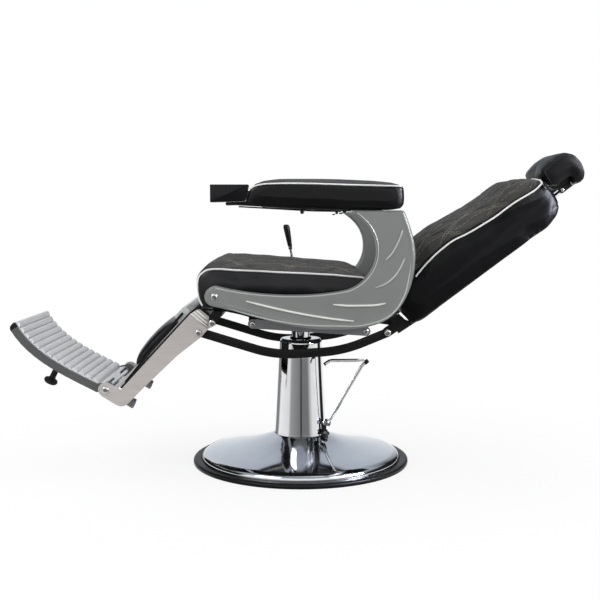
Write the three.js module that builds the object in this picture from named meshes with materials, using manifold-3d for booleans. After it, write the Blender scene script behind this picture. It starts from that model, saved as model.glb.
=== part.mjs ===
// Hydraulic barber chair, laid back, in millimetres with +Z up.
// Origin: centre of the round base on the floor. +X is the back of the chair, -X the
// footrest, -Y the sitter's left side. Left and right pieces mirror each other in Y.
import * as THREE from 'three';
import { mergeVertices } from 'three/addons/utils/BufferGeometryUtils.js';
import Module from 'manifold-3d';

const wasm = await Module();
wasm.setup();

// ---------------------------------------------------------------- driving dimensions
const FIT = 0.35; // gap between pieces that touch
const ROUND = 40; // sides of the largest turned pieces
const BASE = { radius: 330, ringInner: 298, ringHeight: 24, domeRadius: 311, sheet: 2.5 };
const COLUMN = { foot: 79, top: 65, low: 92, high: 380, wall: 3 };
const PISTON = { radius: 28, low: 75, shoulder: 401, spigot: 20, high: 438 };
const PEDAL = { x: 74, y: -50, z: 98, rod: 4.5, collar: 12 };
const LEG_PIVOT = { x: -251.5, z: 448.5 };
const BACK_PIVOT = { x: 289, z: 447 };
const CRANK = { x: -40, z: -29 }; // from each pivot to its link bolt
const BACK_ANGLE = 33.5; // the back above the horizontal
const LEG_ANGLE = 47.2; // the leg above the horizontal
const ARM = { inner: 245, outer: 305, top: 766, edge: 5 };
const SEAT = { front: -306, rear: 188, bottom: 488, half: 233, panTop: 481.5 };
const BACK = { half: 232, board: 16.1, taper: 0.06, guideEnd: 545 };
const HEAD = { pivot: [652, 51.5], pin: 3, half: 60, plate: [58, 62], rise: 0.079, bar: 6 };
const LINK = { inner: 179, outer: 187, depth: 25 };
const BRACKET = { inner: 168, outer: 176 };
const LEG_PLATE = { inner: 195, outer: 201 };
const FOOT = {
  half: 165, rail: 172, hingeX: -560, hingeZ: 255, ribs: 14, depth: 22, rib: 9, start: 0.03, end: 0.985,
};
const LEVER = { x: -20, y: 239, z: 456 };
const BOLT = { radius: 7, head: 10, headHeight: 5 };

// ---------------------------------------------------------------- materials
const looks = {
  chrome: [0xd9dcdf, 0.12, 1], steel: [0x2a2b2d, 0.45, 0.8], rubber: [0x161617, 0.7, 0],
  satin: [0x80827f, 0.42, 0.55], plate: [0xb0ada8, 0.35, 0.6], rib: [0xb4b5b7, 0.4, 0.6],
  rail: [0x58595b, 0.5, 0.5], leather: [0x1a1a1d, 0.45, 0], board: [0x151515, 0.8, 0],
  iron: [0x4b4d50, 0.6, 0.7], gloss: [0x131316, 0.15, 0],
};
const chair = new THREE.Group();

function addMesh(parent, name, geometry, look) {
  const [color, roughness, metalness] = looks[look];
  const mesh = new THREE.Mesh(geometry, new THREE.MeshStandardMaterial({ color, roughness, metalness }));
  mesh.name = name;
  parent.add(mesh);
  return mesh;
}

// A pair of mirror pieces: build the left one (y < 0) and its mirror image.
function addPair(parent, name, geometry, look) {
  addMesh(parent, `${name}_left`, geometry, look);
  addMesh(parent, `${name}_right`, closed(geometry.clone().scale(1, -1, 1)), look);
}

// ---------------------------------------------------------------- geometry helpers
// One welded, outward-facing surface with no collapsed triangles.
function closed(geometry) {
  const source = geometry.clone();
  for (const name of Object.keys(source.attributes)) {
    if (name !== 'position') source.deleteAttribute(name);
  }
  const welded = mergeVertices(source, 1e-4);
  const p = welded.attributes.position;
  const index = [];
  let volume = 0;
  const corner = [new THREE.Vector3(), new THREE.Vector3(), new THREE.Vector3()];
  for (let i = 0; i < welded.index.count; i += 3) {
    const tri = [0, 1, 2].map((k) => welded.index.getX(i + k));
    if (tri[0] === tri[1] || tri[1] === tri[2] || tri[2] === tri[0]) continue;
    tri.forEach((v, k) => corner[k].fromBufferAttribute(p, v));
    volume += corner[0].dot(corner[1].clone().cross(corner[2]));
    index.push(...tri);
  }
  if (volume < 0) {
    for (let i = 0; i < index.length; i += 3) [index[i], index[i + 1]] = [index[i + 1], index[i]];
  }
  welded.setIndex(index);
  return welded;
}

function toSolid(geometry) {
  const g = closed(geometry);
  return new wasm.Manifold(new wasm.Mesh({
    numProp: 3,
    vertProperties: new Float32Array(g.attributes.position.array),
    triVerts: new Uint32Array(g.index.array),
  }));
}

function fromSolid(solid) {
  const mesh = solid.getMesh();
  const g = new THREE.BufferGeometry();
  g.setAttribute('position', new THREE.BufferAttribute(new Float32Array(mesh.vertProperties), 3));
  g.setIndex(Array.from(mesh.triVerts));
  return g;
}

const join = (...pieces) => fromSolid(pieces.map(toSolid).reduce((a, b) => a.add(b)));
const cut = (body, ...tools) =>
  fromSolid(tools.map(toSolid).reduce((a, b) => a.subtract(b), toSolid(body)));

function box(x0, x1, y0, y1, z0, z1) {
  const g = new THREE.BoxGeometry(x1 - x0, y1 - y0, z1 - z0);
  return closed(g.translate((x0 + x1) / 2, (y0 + y1) / 2, (z0 + z1) / 2));
}

// A shape drawn in X and Z, extruded along Y from y0 to y1, with an optional rounded edge.
function slab(shape, y0, y1, edge = 0, curveSegments = 6) {
  const g = new THREE.ExtrudeGeometry(shape, {
    depth: y1 - y0 - 2 * edge, bevelEnabled: edge > 0, bevelSize: edge,
    bevelThickness: edge, bevelOffset: -edge, bevelSegments: 1, curveSegments,
  });
  return closed(g.rotateX(Math.PI / 2).translate(0, y1 - edge, 0));
}

function outline(points) {
  return new THREE.Shape(points.map(([x, z]) => new THREE.Vector2(x, z)));
}

// A round profile of [radius, height] pairs turned about Z.
function turned(profile, segments = 32) {
  const g = new THREE.LatheGeometry(profile.map(([r, h]) => new THREE.Vector2(r, h)), segments);
  return closed(g.rotateX(Math.PI / 2));
}

function rodY(x, z, radius, y0, y1, segments = 16) {
  const g = new THREE.CylinderGeometry(radius, radius, y1 - y0, segments);
  return closed(g.translate(x, (y0 + y1) / 2, z));
}

// A turned profile whose Z axis is laid along a direction from a start point.
function turnedAlong(profile, start, direction, segments) {
  const turn = new THREE.Quaternion().setFromUnitVectors(
    new THREE.Vector3(0, 0, 1), new THREE.Vector3(...direction).normalize());
  return turned(profile, segments).applyQuaternion(turn).translate(...start);
}

// A round rod swept along a smooth curve through the given points.
function sweptRod(points, radius, sides, steps, tension = 0.5) {
  const path = new THREE.CatmullRomCurve3(
    points.map((p) => new THREE.Vector3(...p)), false, 'catmullrom', tension);
  const ring = [];
  for (let i = 0; i < sides; i++) {
    const t = (2 * Math.PI * i) / sides;
    ring.push(new THREE.Vector2(radius * Math.cos(t), radius * Math.sin(t)));
  }
  return closed(new THREE.ExtrudeGeometry(new THREE.Shape(ring), { steps, extrudePath: path }));
}

// A hexagon-headed bolt through y0..y1, its head outside y1 (y1 < y0 on the left side).
function bolt(x, z, yInner, yOuter, radius = BOLT.radius) {
  const out = Math.sign(yOuter);
  const head = [yOuter + out * FIT, yOuter + out * (FIT + BOLT.headHeight)];
  const shank = [yInner, yOuter + out * (FIT + 1)];
  return join(rodY(x, z, radius, Math.min(...shank), Math.max(...shank), 12),
    rodY(x, z, BOLT.head, Math.min(...head), Math.max(...head), 10));
}

const hole = (x, z, radius, y0, y1) => rodY(x, z, radius, y0, y1, 14);

// A group whose local X runs up the given slope and whose local Z is square to it.
function sloped(origin, degrees) {
  const group = new THREE.Group();
  group.position.set(origin.x, 0, origin.z);
  group.rotation.y = -THREE.MathUtils.degToRad(degrees);
  chair.add(group);
  return group;
}

// Skin a row of closed sections, each a list of [x, y, z], and cap both ends.
function loft(sections) {
  const n = sections[0].length;
  const position = sections.flat(2);
  const index = [];
  for (let k = 0; k + 1 < sections.length; k++) {
    for (let i = 0; i < n; i++) {
      const a = k * n + i;
      const b = k * n + ((i + 1) % n);
      const flip = (k + i) % 2 === 1;
      if (flip) index.push(a, b, a + n, b, b + n, a + n);
      else index.push(a, b, b + n, a, b + n, a + n);
    }
  }
  for (const [k, turn] of [[0, false], [sections.length - 1, true]]) {
    const centre = [0, 1, 2].map((c) => sections[k].reduce((s, p) => s + p[c], 0) / n);
    const tip = position.length / 3;
    position.push(...centre);
    for (let i = 0; i < n; i++) {
      const a = k * n + i;
      const b = k * n + ((i + 1) % n);
      index.push(...(turn ? [a, b, tip] : [b, a, tip]));
    }
  }
  const g = new THREE.BufferGeometry();
  g.setAttribute('position', new THREE.Float32BufferAttribute(position, 3));
  g.setIndex(index);
  return closed(g);
}

// ---------------------------------------------------------------- round base
const domeProfile = [[BASE.domeRadius, 24.4], [304, 28], [280, 32.5], [220, 40], [170, 49], [125, 62], [98, 78],
  [86, 90]];

function buildBase() {
  const { radius, ringInner, ringHeight, domeRadius } = BASE;
  const ring = turned([[ringInner, 0], [radius - 4, 0], [radius, 6], [radius - 1, 17],
    [radius - 8, ringHeight + 1.5], [domeRadius + 2, ringHeight + 1.5], [domeRadius + 2, ringHeight],
    [ringInner, ringHeight], [ringInner, 0]], ROUND);
  addMesh(chair, 'base_rubber_rim', ring, 'rubber');

  const under = domeProfile.map(([r, z]) => [r - 1, z - BASE.sheet]).reverse();
  under.splice(-3, 1);
  under[under.length - 1] = [domeRadius - 3, 24.4];
  const dome = turned([...domeProfile, ...under, domeProfile[0]], ROUND);
  const post = new THREE.CylinderGeometry(13, 13, 60, 16).rotateX(Math.PI / 2);
  addMesh(chair, 'base_dome', cut(dome, post.translate(PEDAL.x, PEDAL.y, 80)), 'chrome');

  addMesh(chair, 'base_plate', turned([[0, 0], [ringInner - 2, 0], [ringInner - 2, 12], [66, 12],
    [58, 18], [58, 30], [0, 30], [0, 0]], ROUND), 'iron');
}

// ---------------------------------------------------------------- pump and column
function buildColumn() {
  const { foot, top, low, high, wall } = COLUMN;
  const lip = high - 8;
  const cover = [[foot, low], [foot - 1.5, low + 16], [top, lip], [top - 3, high - 2], [top - 6, high],
    [31, high], [31, high - wall], [top - 8, high - wall], [top - wall - 3, lip - 3],
    [foot - 1.5 - wall, low + 16], [foot - wall, low], [foot, low]];
  addMesh(chair, 'column_cover', turned(cover, 32), 'chrome');

  const bore = PISTON.radius + FIT;
  addMesh(chair, 'pump_cylinder', turned([[0, 30.3], [46, 30.3], [46, 44], [42, 48], [42, 352],
    [bore, 352], [bore, 62], [0, 62], [0, 30.3]], 20), 'iron');
  addMesh(chair, 'piston_seal', turned([[bore, high + FIT], [32.5, high + FIT], [32.5, high + 2],
    [31, high + 3.5], [bore, high + 3.5], [bore, high + FIT]], 24), 'rubber');

  const { radius, shoulder, spigot } = PISTON;
  addMesh(chair, 'piston_rod', turned([[0, PISTON.low], [radius - 2, PISTON.low], [radius, PISTON.low + 2],
    [radius, shoulder], [spigot, shoulder], [spigot, PISTON.high], [0, PISTON.high], [0, PISTON.low]], 32),
  'chrome');
}

function buildPedal() {
  const { x, y, z } = PEDAL;
  const half = 4;
  const housing = turned([[0, 12.3], [20, 12.3], [20, 36], [16, 42], [16, 62], [0, 62], [0, 12.3]], 18);
  addMesh(chair, 'pump_housing', housing.translate(x, y, 0), 'iron');

  const fork = turned([[0, 62.3], [10, 62.3], [10, 84], [9, 88], [9, 104], [0, 104], [0, 62.3]], 18);
  const slot = box(-20, 20, -half - FIT, half + FIT, 84, 120).translate(x, y, 0);
  const clevis = cut(fork.translate(x, y, 0), slot, hole(x, z, 3 + FIT, y - 15, y + 15));
  addMesh(chair, 'pump_clevis', clevis, 'steel');
  addMesh(chair, 'pump_pivot_pin', join(rodY(x, z, 3, y - 11, y + 9.6, 12),
    rodY(x, z, 5, y - 13, y - 9.6, 12)), 'chrome');

  const arm = join(rodY(x, z, 7, y - half, y + half, 16), box(x - 4, x + 4, y - half, y + half, z, 118));
  addMesh(chair, 'pedal_arm', cut(arm, hole(x, z, 3 + FIT, y - 10, y + 10)), 'steel');
  const lean = [0.52, -0.05, 0.85];
  const collar = turnedAlong([[0, 0], [PEDAL.collar - 3, 0], [PEDAL.collar, 3], [PEDAL.collar, 13],
    [PEDAL.collar - 3, 18], [0, 18], [0, 0]], [x + 1, y, 118.6], lean, 18);
  addMesh(chair, 'pedal_collar', cut(collar, box(x - 20, x + 20, y - 20, y + 20, 100, 118.3)), 'chrome');
  const rod = sweptRod([[88, -51, 136], [112, -54, 176], [150, -61, 240], [186, -68, 300], [196, -71, 312],
    [187, -73, 315], [140, -79, 314], [102, -84, 314], [86, -87, 311], [70, -90, 305]],
  PEDAL.rod, 8, 25, 0.35);
  addMesh(chair, 'pedal_rod', rod, 'chrome');
}

// ---------------------------------------------------------------- swivel and seat frame
function buildSeatFrame() {
  const bore = PISTON.spigot + FIT;
  addMesh(chair, 'swivel_bearing', turned([[bore, 401.3], [27, 401.3], [27, 404.7], [bore, 404.7],
    [bore, 401.3]], 24), 'steel');
  addMesh(chair, 'swivel_hub', turned([[bore, 405], [30, 405], [34, 412], [62, 426], [62, 440], [bore, 440],
    [bore, 405]], 24), 'iron');

  const { panTop } = SEAT;
  const pieces = [box(-120, 120, -95, 95, 440.3, 446)];
  const rail = outline([[-236, 474.5], [-180, 462.5], [-130, 449], [-110, 445.5], [196, 445.5],
    [196, panTop - 2], [-236, panTop - 2]]);
  const frontEar = outline([[-261, 452], [-258, 443], [-251, 439], [-244, 442], [-229, 462],
    [-219, panTop], [-250, panTop], [-259, 464]]);
  const rearEar = outline([[196, 446], [286, 434], [296, 436], [301, 443], [301, 451], [296, 458],
    [289, 460], [196, 466]]);
  for (const side of [-1, 1]) {
    const span = (a, b) => [Math.min(side * a, side * b), Math.max(side * a, side * b)];
    pieces.push(slab(rail, ...span(84, 108)));
    pieces.push(slab(frontEar, ...span(204, 210)));
    pieces.push(slab(rearEar, ...span(158, 164)));
    for (const [x, low] of [[-136, 436], [176, 416]]) {
      pieces.push(box(x - 11, x + 13, ...span(214, 221.5), low, panTop - 1));
      pieces.push(box(x - 11, x + 12, ...span(221, 239), 470, panTop - 1));
      pieces.push(box(x - 28, x + 22, ...span(239 - 1, 244.5), 476, 512));
    }
  }
  for (const [x0, x1, half, low] of [[-250, -224, 207, 467], [-148, -120, 222, 470], [160, 192, 222, 466]]) {
    pieces.push(box(x0, x1, -half, half, low, panTop - 0.5));
  }
  pieces.push(box(192 - 4, 200, -164, 164, 448, 470));
  pieces.push(box(-240, -165, -150, 150, panTop - 3, panTop), box(-166, 192, -207, 207, panTop - 3, panTop));
  pieces.push(...leverBracket());
  const drills = [];
  for (const side of [-1, 1]) {
    drills.push(hole(LEG_PIVOT.x, LEG_PIVOT.z, BOLT.radius + FIT, side * 207 - 8, side * 207 + 8));
    drills.push(hole(BACK_PIVOT.x, BACK_PIVOT.z, BOLT.radius + FIT, side * 161 - 8, side * 161 + 8));
  }
  addMesh(chair, 'seat_frame', cut(join(...pieces), ...drills), 'steel');

  const bar = new THREE.Shape();
  const slope = Math.atan2(427 - 448, 184 + 136);
  bar.absarc(-136, 448, 13, slope + Math.PI / 2, slope + 1.5 * Math.PI, false);
  bar.absarc(184, 427, 13, slope - Math.PI / 2, slope + Math.PI / 2, false);
  addPair(chair, 'seat_side_bar', slab(bar, -230, -222, 0, 5), 'plate');
}

// ---------------------------------------------------------------- cushions
const smooth = (t) => t * t * (3 - 2 * t);
const clamp01 = (t) => Math.min(1, Math.max(0, t));

// Depth of a sewn diamond channel at grid place i, j: 1 on a seam, 0 at a diamond's middle.
function sewn(i, j) {
  const off = (v) => Math.min(((v % 4) + 4) % 4, 4 - (((v % 4) + 4) % 4));
  return Math.max(0, 1 - Math.min(off(i + j), off(i - j)));
}

// A cushion lofted across Y. side is a closed list of [x, z]; the run of places from..to is
// its top. The ends draw in by edge, the top crowns by crown and is sewn by channel. No
// point goes below floor(x).
function cushion({ side, from, to, half, rows, edge, crown, channel, floor }) {
  const cx = side.reduce((s, p) => s + p[0], 0) / side.length;
  const cz = side.reduce((s, p) => s + p[1], 0) / side.length;
  const sections = [];
  for (let k = 0; k <= rows; k++) {
    const w = (2 * k) / rows - 1;
    const y = half * w;
    const dome = 1 - w * w * w * w;
    const drawn = 1 - edge * Math.pow(Math.abs(w), 10);
    sections.push(side.map(([x, z], i) => {
      const inTop = i >= from && i <= to;
      const t = inTop ? (i - from) / (to - from) : 0;
      const lift = inTop ? crown * dome * Math.pow(Math.sin(Math.PI * clamp01(t)), 0.6) : 0;
      const inner = inTop && i > from && i < to && k > 0 && k < rows;
      const seam = inner ? channel * sewn(i - from, k - rows / 2) : 0;
      const px = cx + (x - cx) * drawn;
      const pz = Math.max(floor(px), cz + (z - cz) * drawn);
      return [px, y, pz + lift - seam];
    }));
  }
  return loft(sections);
}

// Points along straight stretches between corners, steps[i] of them on stretch i.
function stretch(corners, steps) {
  const points = [];
  corners.forEach(([x, z], i) => {
    const [nx, nz] = corners[(i + 1) % corners.length];
    for (let s = 0; s < steps[i]; s++) {
      const t = s / steps[i];
      points.push([x + (nx - x) * t, z + (nz - z) * t]);
    }
  });
  return points;
}

function buildSeat() {
  const top = SEAT.bottom - FIT;
  const under = SEAT.panTop + FIT;
  const board = join(box(-286, -190, -190, 190, under, top), box(-191, 180, -205, 205, under, top));
  addMesh(chair, 'seat_board', board, 'board');
  const { front, rear, bottom } = SEAT;
  const corners = [[rear, bottom], [rear, 570], [rear - 8, 585], [-262, 613], [-284, 611], [-299, 602],
    [front, 582], [front, 520], [front + 10, bottom]];
  const side = stretch(corners, [2, 1, 20, 1, 1, 1, 1, 1, 5]);
  const seat = cushion({ side, from: 3, to: 23, half: SEAT.half, rows: 24, edge: 0.03, crown: 20,
    channel: 5, floor: () => bottom });
  addMesh(chair, 'seat_cushion', seat, 'leather');
}

// ---------------------------------------------------------------- armrests
function armShape() {
  const s = new THREE.Shape();
  s.moveTo(-232, 557.5);
  s.bezierCurveTo(-130, 530, 20, 525, 116, 545);
  s.bezierCurveTo(160, 551, 209, 595, 209, 655);
  s.bezierCurveTo(209, 705, 180, 741, 136, ARM.top);
  s.lineTo(273, ARM.top);
  s.quadraticCurveTo(281, ARM.top, 284.5, 757);
  s.bezierCurveTo(301, 716, 313, 680, 313, 640);
  s.bezierCurveTo(313, 570, 285, 492, 228, 463);
  s.bezierCurveTo(185, 440, 110, 437, 41, 442);
  s.bezierCurveTo(-50, 450, -115, 473, -186, 492);
  s.lineTo(-246, 505.5);
  s.absarc(-237, 531, 27, -1.92, 1.4, true);
  return s;
}

// The cast ribs that follow the arm's rear edge and the four crests on its face.
function armRibs() {
  const y = -ARM.outer;
  const face = (points) => points.map(([x, z]) => [x, y, z]);
  const border = sweptRod(face([[287, 742], [303, 690], [303, 630], [284, 545], [240, 487], [180, 458],
    [110, 451], [30, 454], [-60, 468], [-150, 492], [-190, 503]]), 3.2, 5, 18);
  const crests = [[[-149, 519], [-7, 483], [145, 463]], [[89, 510], [158, 507], [232, 513]],
    [[204, 556], [253, 586], [283, 636]], [[231, 631], [259, 668], [276, 712]]];
  return [border, ...crests.map((c) => sweptRod(face(c), 2.4, 5, 5))];
}

function buildArms() {
  const arm = slab(armShape(), -ARM.outer, -ARM.inner, ARM.edge, 6);
  const screwHead = rodY(-237, 531, 8, -309, -ARM.outer + 1, 12);
  addPair(chair, 'arm_frame', join(arm, screwHead, ...armRibs()), 'satin');

  const bar = join(slab(outline([[-205, 782], [40, 768], [134, 766.4], [134, 770], [40, 772.5],
    [-205, 786.5]]), -290, -260), rodY(3, 768, 5, -282, -268, 8), rodY(120, 764, 5, -282, -268, 8));
  addPair(chair, 'arm_support_bar', bar, 'steel');
  const block = slab(outline([[-246, 788], [-151.5, 791], [-141.8, 836], [-246, 836]]), -304, -246, 2);
  addPair(chair, 'arm_tip_block', block, 'gloss');

  const corners = [[-150, 790], [-132, 781], [134, 768.6], [262, 767], [281, 772], [286, 780], [286, 812],
    [281, 827], [262, 838], [-80, 842], [-128, 837], [-140.5, 829]];
  const side = stretch(corners, [1, 3, 2, 1, 1, 1, 1, 1, 8, 1, 1, 1]);
  const pad = cushion({ side, from: 11, to: 19, half: 39, rows: 8, edge: 0.06, crown: 11, channel: 0,
    floor: () => ARM.top + FIT });
  addPair(chair, 'arm_pad', cutUnder(pad).translate(0, -275, 0), 'leather');
}

// Sink the support bar into a pad's underside.
function cutUnder(pad) {
  const under = outline([[-260, 700], [140, 700], [140, 770 + FIT], [134, 770 + FIT], [40, 772.5 + FIT],
    [-260, 789.6 + FIT]]);
  return cut(pad, slab(under, -15.5, 15.5));
}

// ---------------------------------------------------------------- recline lever
// The stub and hanger on the seat frame that the lever's eye turns on.
function leverBracket() {
  const { x, y, z } = LEVER;
  const [inner, outer] = [y - 8.5, y - 4.5];
  return [rodY(x, z, 4, inner, y + 4.4, 12), rodY(x, z, 9, inner, outer, 12),
    box(x - 9, x + 9, inner, outer, z, SEAT.panTop), box(x - 9, x + 9, 94, outer, 472, SEAT.panTop)];
}

function buildLever() {
  const { x, y, z } = LEVER;
  const eye = cut(join(rodY(x, z, 9, y - 3, y + 3, 14),
    sweptRod([[x - 1, y, z + 3], [-22, y, 540], [-29.5, y, 620], [-34.4, y, 651]], 3.6, 8, 8)),
  hole(x, z, 4 + FIT, y - 8, y + 8));
  addMesh(chair, 'recline_lever_rod', eye, 'chrome');
  const grip = turnedAlong([[0, 0], [7, 0], [8, 6], [11, 60], [10.5, 71], [8, 75], [0, 75], [0, 0]],
    [-34.6, y, 652], [-0.18, 0, 0.984], 16);
  addMesh(chair, 'recline_lever_grip', grip, 'gloss');
}

// ---------------------------------------------------------------- backrest
function buildBack() {
  const back = sloped(BACK_PIVOT, BACK_ANGLE);
  const turn = THREE.MathUtils.degToRad(BACK_ANGLE);
  const local = (dx, dz) => [dx * Math.cos(turn) + dz * Math.sin(turn),
    -dx * Math.sin(turn) + dz * Math.cos(turn)];
  const [linkX, linkZ] = local(CRANK.x, CRANK.z);

  const bracket = new THREE.Shape();
  bracket.absarc(linkX, linkZ, 14, Math.PI / 2, 1.5 * Math.PI, false);
  for (const [bx, bz] of [[-24, -16], [-24, -23], [60, -23], [60, -8], [20, -8.2], [14, 0], [8, 24],
    [-24, 24], [-24, 13]]) bracket.lineTo(bx, bz);
  const plates = [-1, 1].map((side) => slab(bracket,
    side < 0 ? -BRACKET.outer : BRACKET.inner, side < 0 ? -BRACKET.inner : BRACKET.outer, 0, 6));
  const tie = box(30, 60, -BRACKET.inner - 1, BRACKET.inner + 1, -14, -8);
  const drills = [hole(0, 0, BOLT.radius + FIT, -190, 190),
    hole(linkX, linkZ, BOLT.radius + FIT, -190, 190)];
  addMesh(back, 'back_hinge_frame', cut(join(...plates, tie), ...drills), 'steel');
  const { outer } = BRACKET;
  const shaft = join(rodY(0, 0, BOLT.radius, -outer - 1, outer + 1, 14),
    rodY(0, 0, BOLT.head, -outer - 3, -outer - FIT, 12), rodY(0, 0, BOLT.head, outer + FIT, outer + 3, 12));
  addMesh(back, 'back_pivot_shaft', shaft, 'steel');
  for (const [side, name] of [[-1, 'left'], [1, 'right']]) {
    addMesh(back, `rear_link_bolt_${name}`, bolt(linkX, linkZ, side * 166, side * LINK.outer, 6.5),
      'chrome');
  }

  const boardSide = outline([[62, backRear(62)], [492, backRear(492)], [536, 15.5], [541, boardFront(541)],
    [62, boardFront(62)]]);
  const lower = outline([[16, backRear(16)], [62.1, backRear(62.1)], [62.1, boardFront(62.1)],
    [18, boardFront(18)]]);
  const board = join(slab(boardSide, -225, 225), slab(lower, -225, -178), slab(lower, 178, 225));
  addMesh(back, 'back_board', board, 'board');
  addMesh(back, 'headrest_guide', headrestGuide(), 'steel');
  addMesh(back, 'back_cushion', backCushion(), 'leather');
}

// The back thins towards its top: its rear face, and its board's front face, at a along it.
const backRear = (a) => -25 + (a - 13.5) * BACK.taper;
const boardFront = (a) => backRear(a) + BACK.board;
// Underside of the headrest bar at a along the back.
const barLow = (a) => 38.5 + (a - 636) * HEAD.rise;

function headrestGuide() {
  const { guideEnd } = BACK;
  const wall = 4;
  const shell = outline([[400, boardFront(400) + FIT], [guideEnd, boardFront(guideEnd) + FIT],
    [guideEnd, barLow(guideEnd) + HEAD.bar + wall], [400, barLow(400) + HEAD.bar + wall]]);
  const slot = outline([[390, barLow(390) - FIT], [560, barLow(560) - FIT],
    [560, barLow(560) + HEAD.bar + FIT], [390, barLow(390) + HEAD.bar + FIT]]);
  return cut(slab(shell, -32, 32), slab(slot, -26.4, 26.4));
}

function backCushion() {
  const corners = [[568, 62], [563, 104], [549, 124], [110, 112], [60, 104], [22, 90], [10, 60],
    [18, boardFront(18) + FIT], [541, boardFront(541) + FIT], [560, 34]];
  const side = stretch(corners, [1, 1, 22, 2, 2, 1, 2, 8, 1, 1]);
  const pad = cushion({ side, from: 2, to: 28, half: BACK.half, rows: 24, edge: 0.03, crown: 34,
    channel: 6, floor: (a) => boardFront(a) + FIT });
  const relief = slab(outline([[-40, 40], [-40, 300], [200, 300], [190, 163], [150, 156], [110, 140],
    [0, 99]]), -260, 260);
  const guideSlot = slab(outline([[396, -20], [640, -20], [640, 50], [396, 30.7]]), -33, 33);
  const hinge = box(0, 62.4, -178, 178, -20, 1);
  return cut(pad, relief, guideSlot, hinge);
}

// ---------------------------------------------------------------- headrest
function buildHeadrest() {
  const back = sloped(BACK_PIVOT, BACK_ANGLE);
  const { pivot, pin, half, plate, bar } = HEAD;
  const [px, pz] = pivot;
  const lug = (y0, y1) => join(rodY(px, pz, 5.8, y0, y1, 14),
    slab(outline([[px - 13, barLow(px - 13) + bar - 1], [px + 13, barLow(px + 13) + bar - 1],
      [px + 5.5, pz + 1], [px - 5.5, pz + 1]]), y0, y1));
  const strip = slab(outline([[420, barLow(420)], [668, barLow(668)], [668, barLow(668) + bar],
    [420, barLow(420) + bar]]), -26, 26);
  addMesh(back, 'headrest_bar', cut(join(strip, lug(-25, -20), lug(20, 25)),
    hole(px, pz, pin + FIT, -40, 40)), 'chrome');
  addMesh(back, 'headrest_pivot_pin', join(rodY(px, pz, pin, -half - 1, half + 1, 12),
    rodY(px, pz, 6, -half - 3, -half - FIT, 10), rodY(px, pz, 6, half + FIT, half + 3, 10)), 'chrome');

  const flange = outline([[608, 44], [612, 41], [668, 44.5], [672, 48], [672, plate[0] + 1], [606, plate[0] + 1]]);
  const hinge = join(box(606, 674, -half, half, ...plate), slab(flange, -half, 4 - half),
    slab(flange, half - 4, half), rodY(616, 50, 6, -half - 2, 1 - half, 10), rodY(616, 50, 6, half - 1, half + 2, 10));
  addMesh(back, 'headrest_hinge', cut(hinge, hole(px, pz, pin + FIT, -half - 5, half + 5)), 'steel');
  addMesh(back, 'headrest_cushion', headrestPad(), 'leather');
}

// The pad wraps down behind the hinge, which sits in a recess in its rear.
function headrestPad() {
  const back = HEAD.plate[1] + FIT;
  const corners = [[600, back], [650, back], [652, 43.5], [662, 39], [680, 42.5], [694, 60], [699, 88],
    [693, 121], [674, 142], [654, 148], [618, 146], [588, 140], [577, 131], [578, 82]];
  const side = stretch(corners, [3, 1, 1, 1, 1, 1, 1, 1, 1, 2, 2, 1, 2, 1]);
  const pad = cushion({ side, from: 10, to: 17, half: 112, rows: 10, edge: 0.05, crown: 8, channel: 0,
    floor: () => 0 });
  return cut(pad, box(560, 677, -64, 64, 20, back));
}

// ---------------------------------------------------------------- recline link bars
function buildLinks() {
  const front = [LEG_PIVOT.x + CRANK.x, LEG_PIVOT.z + CRANK.z];
  const rear = [BACK_PIVOT.x + CRANK.x, BACK_PIVOT.z + CRANK.z];
  const middle = [front, [-74, 353], [120, 365], rear].map(([x, z]) => new THREE.Vector2(x, z));
  const h = LINK.depth / 2;
  const upper = [];
  const lower = [];
  middle.forEach((p, i) => {
    const a = middle[Math.max(0, i - 1)];
    const b = middle[Math.min(3, i + 1)];
    const along = b.clone().sub(a).normalize();
    const square = new THREE.Vector2(-along.y, along.x).multiplyScalar(h);
    upper.push(p.clone().add(square));
    lower.unshift(p.clone().sub(square));
  });
  const eyes = [front, rear].map(([x, z]) => rodY(x, z, h + 1, -LINK.outer, -LINK.inner, 18));
  const strip = slab(new THREE.Shape([...upper, ...lower]), -LINK.outer, -LINK.inner);
  const drills = [hole(...front, BOLT.radius + 1, -200, -170), hole(...rear, BOLT.radius + FIT, -200, -170)];
  addPair(chair, 'link_bar', cut(join(strip, ...eyes), ...drills), 'steel');
}

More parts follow.
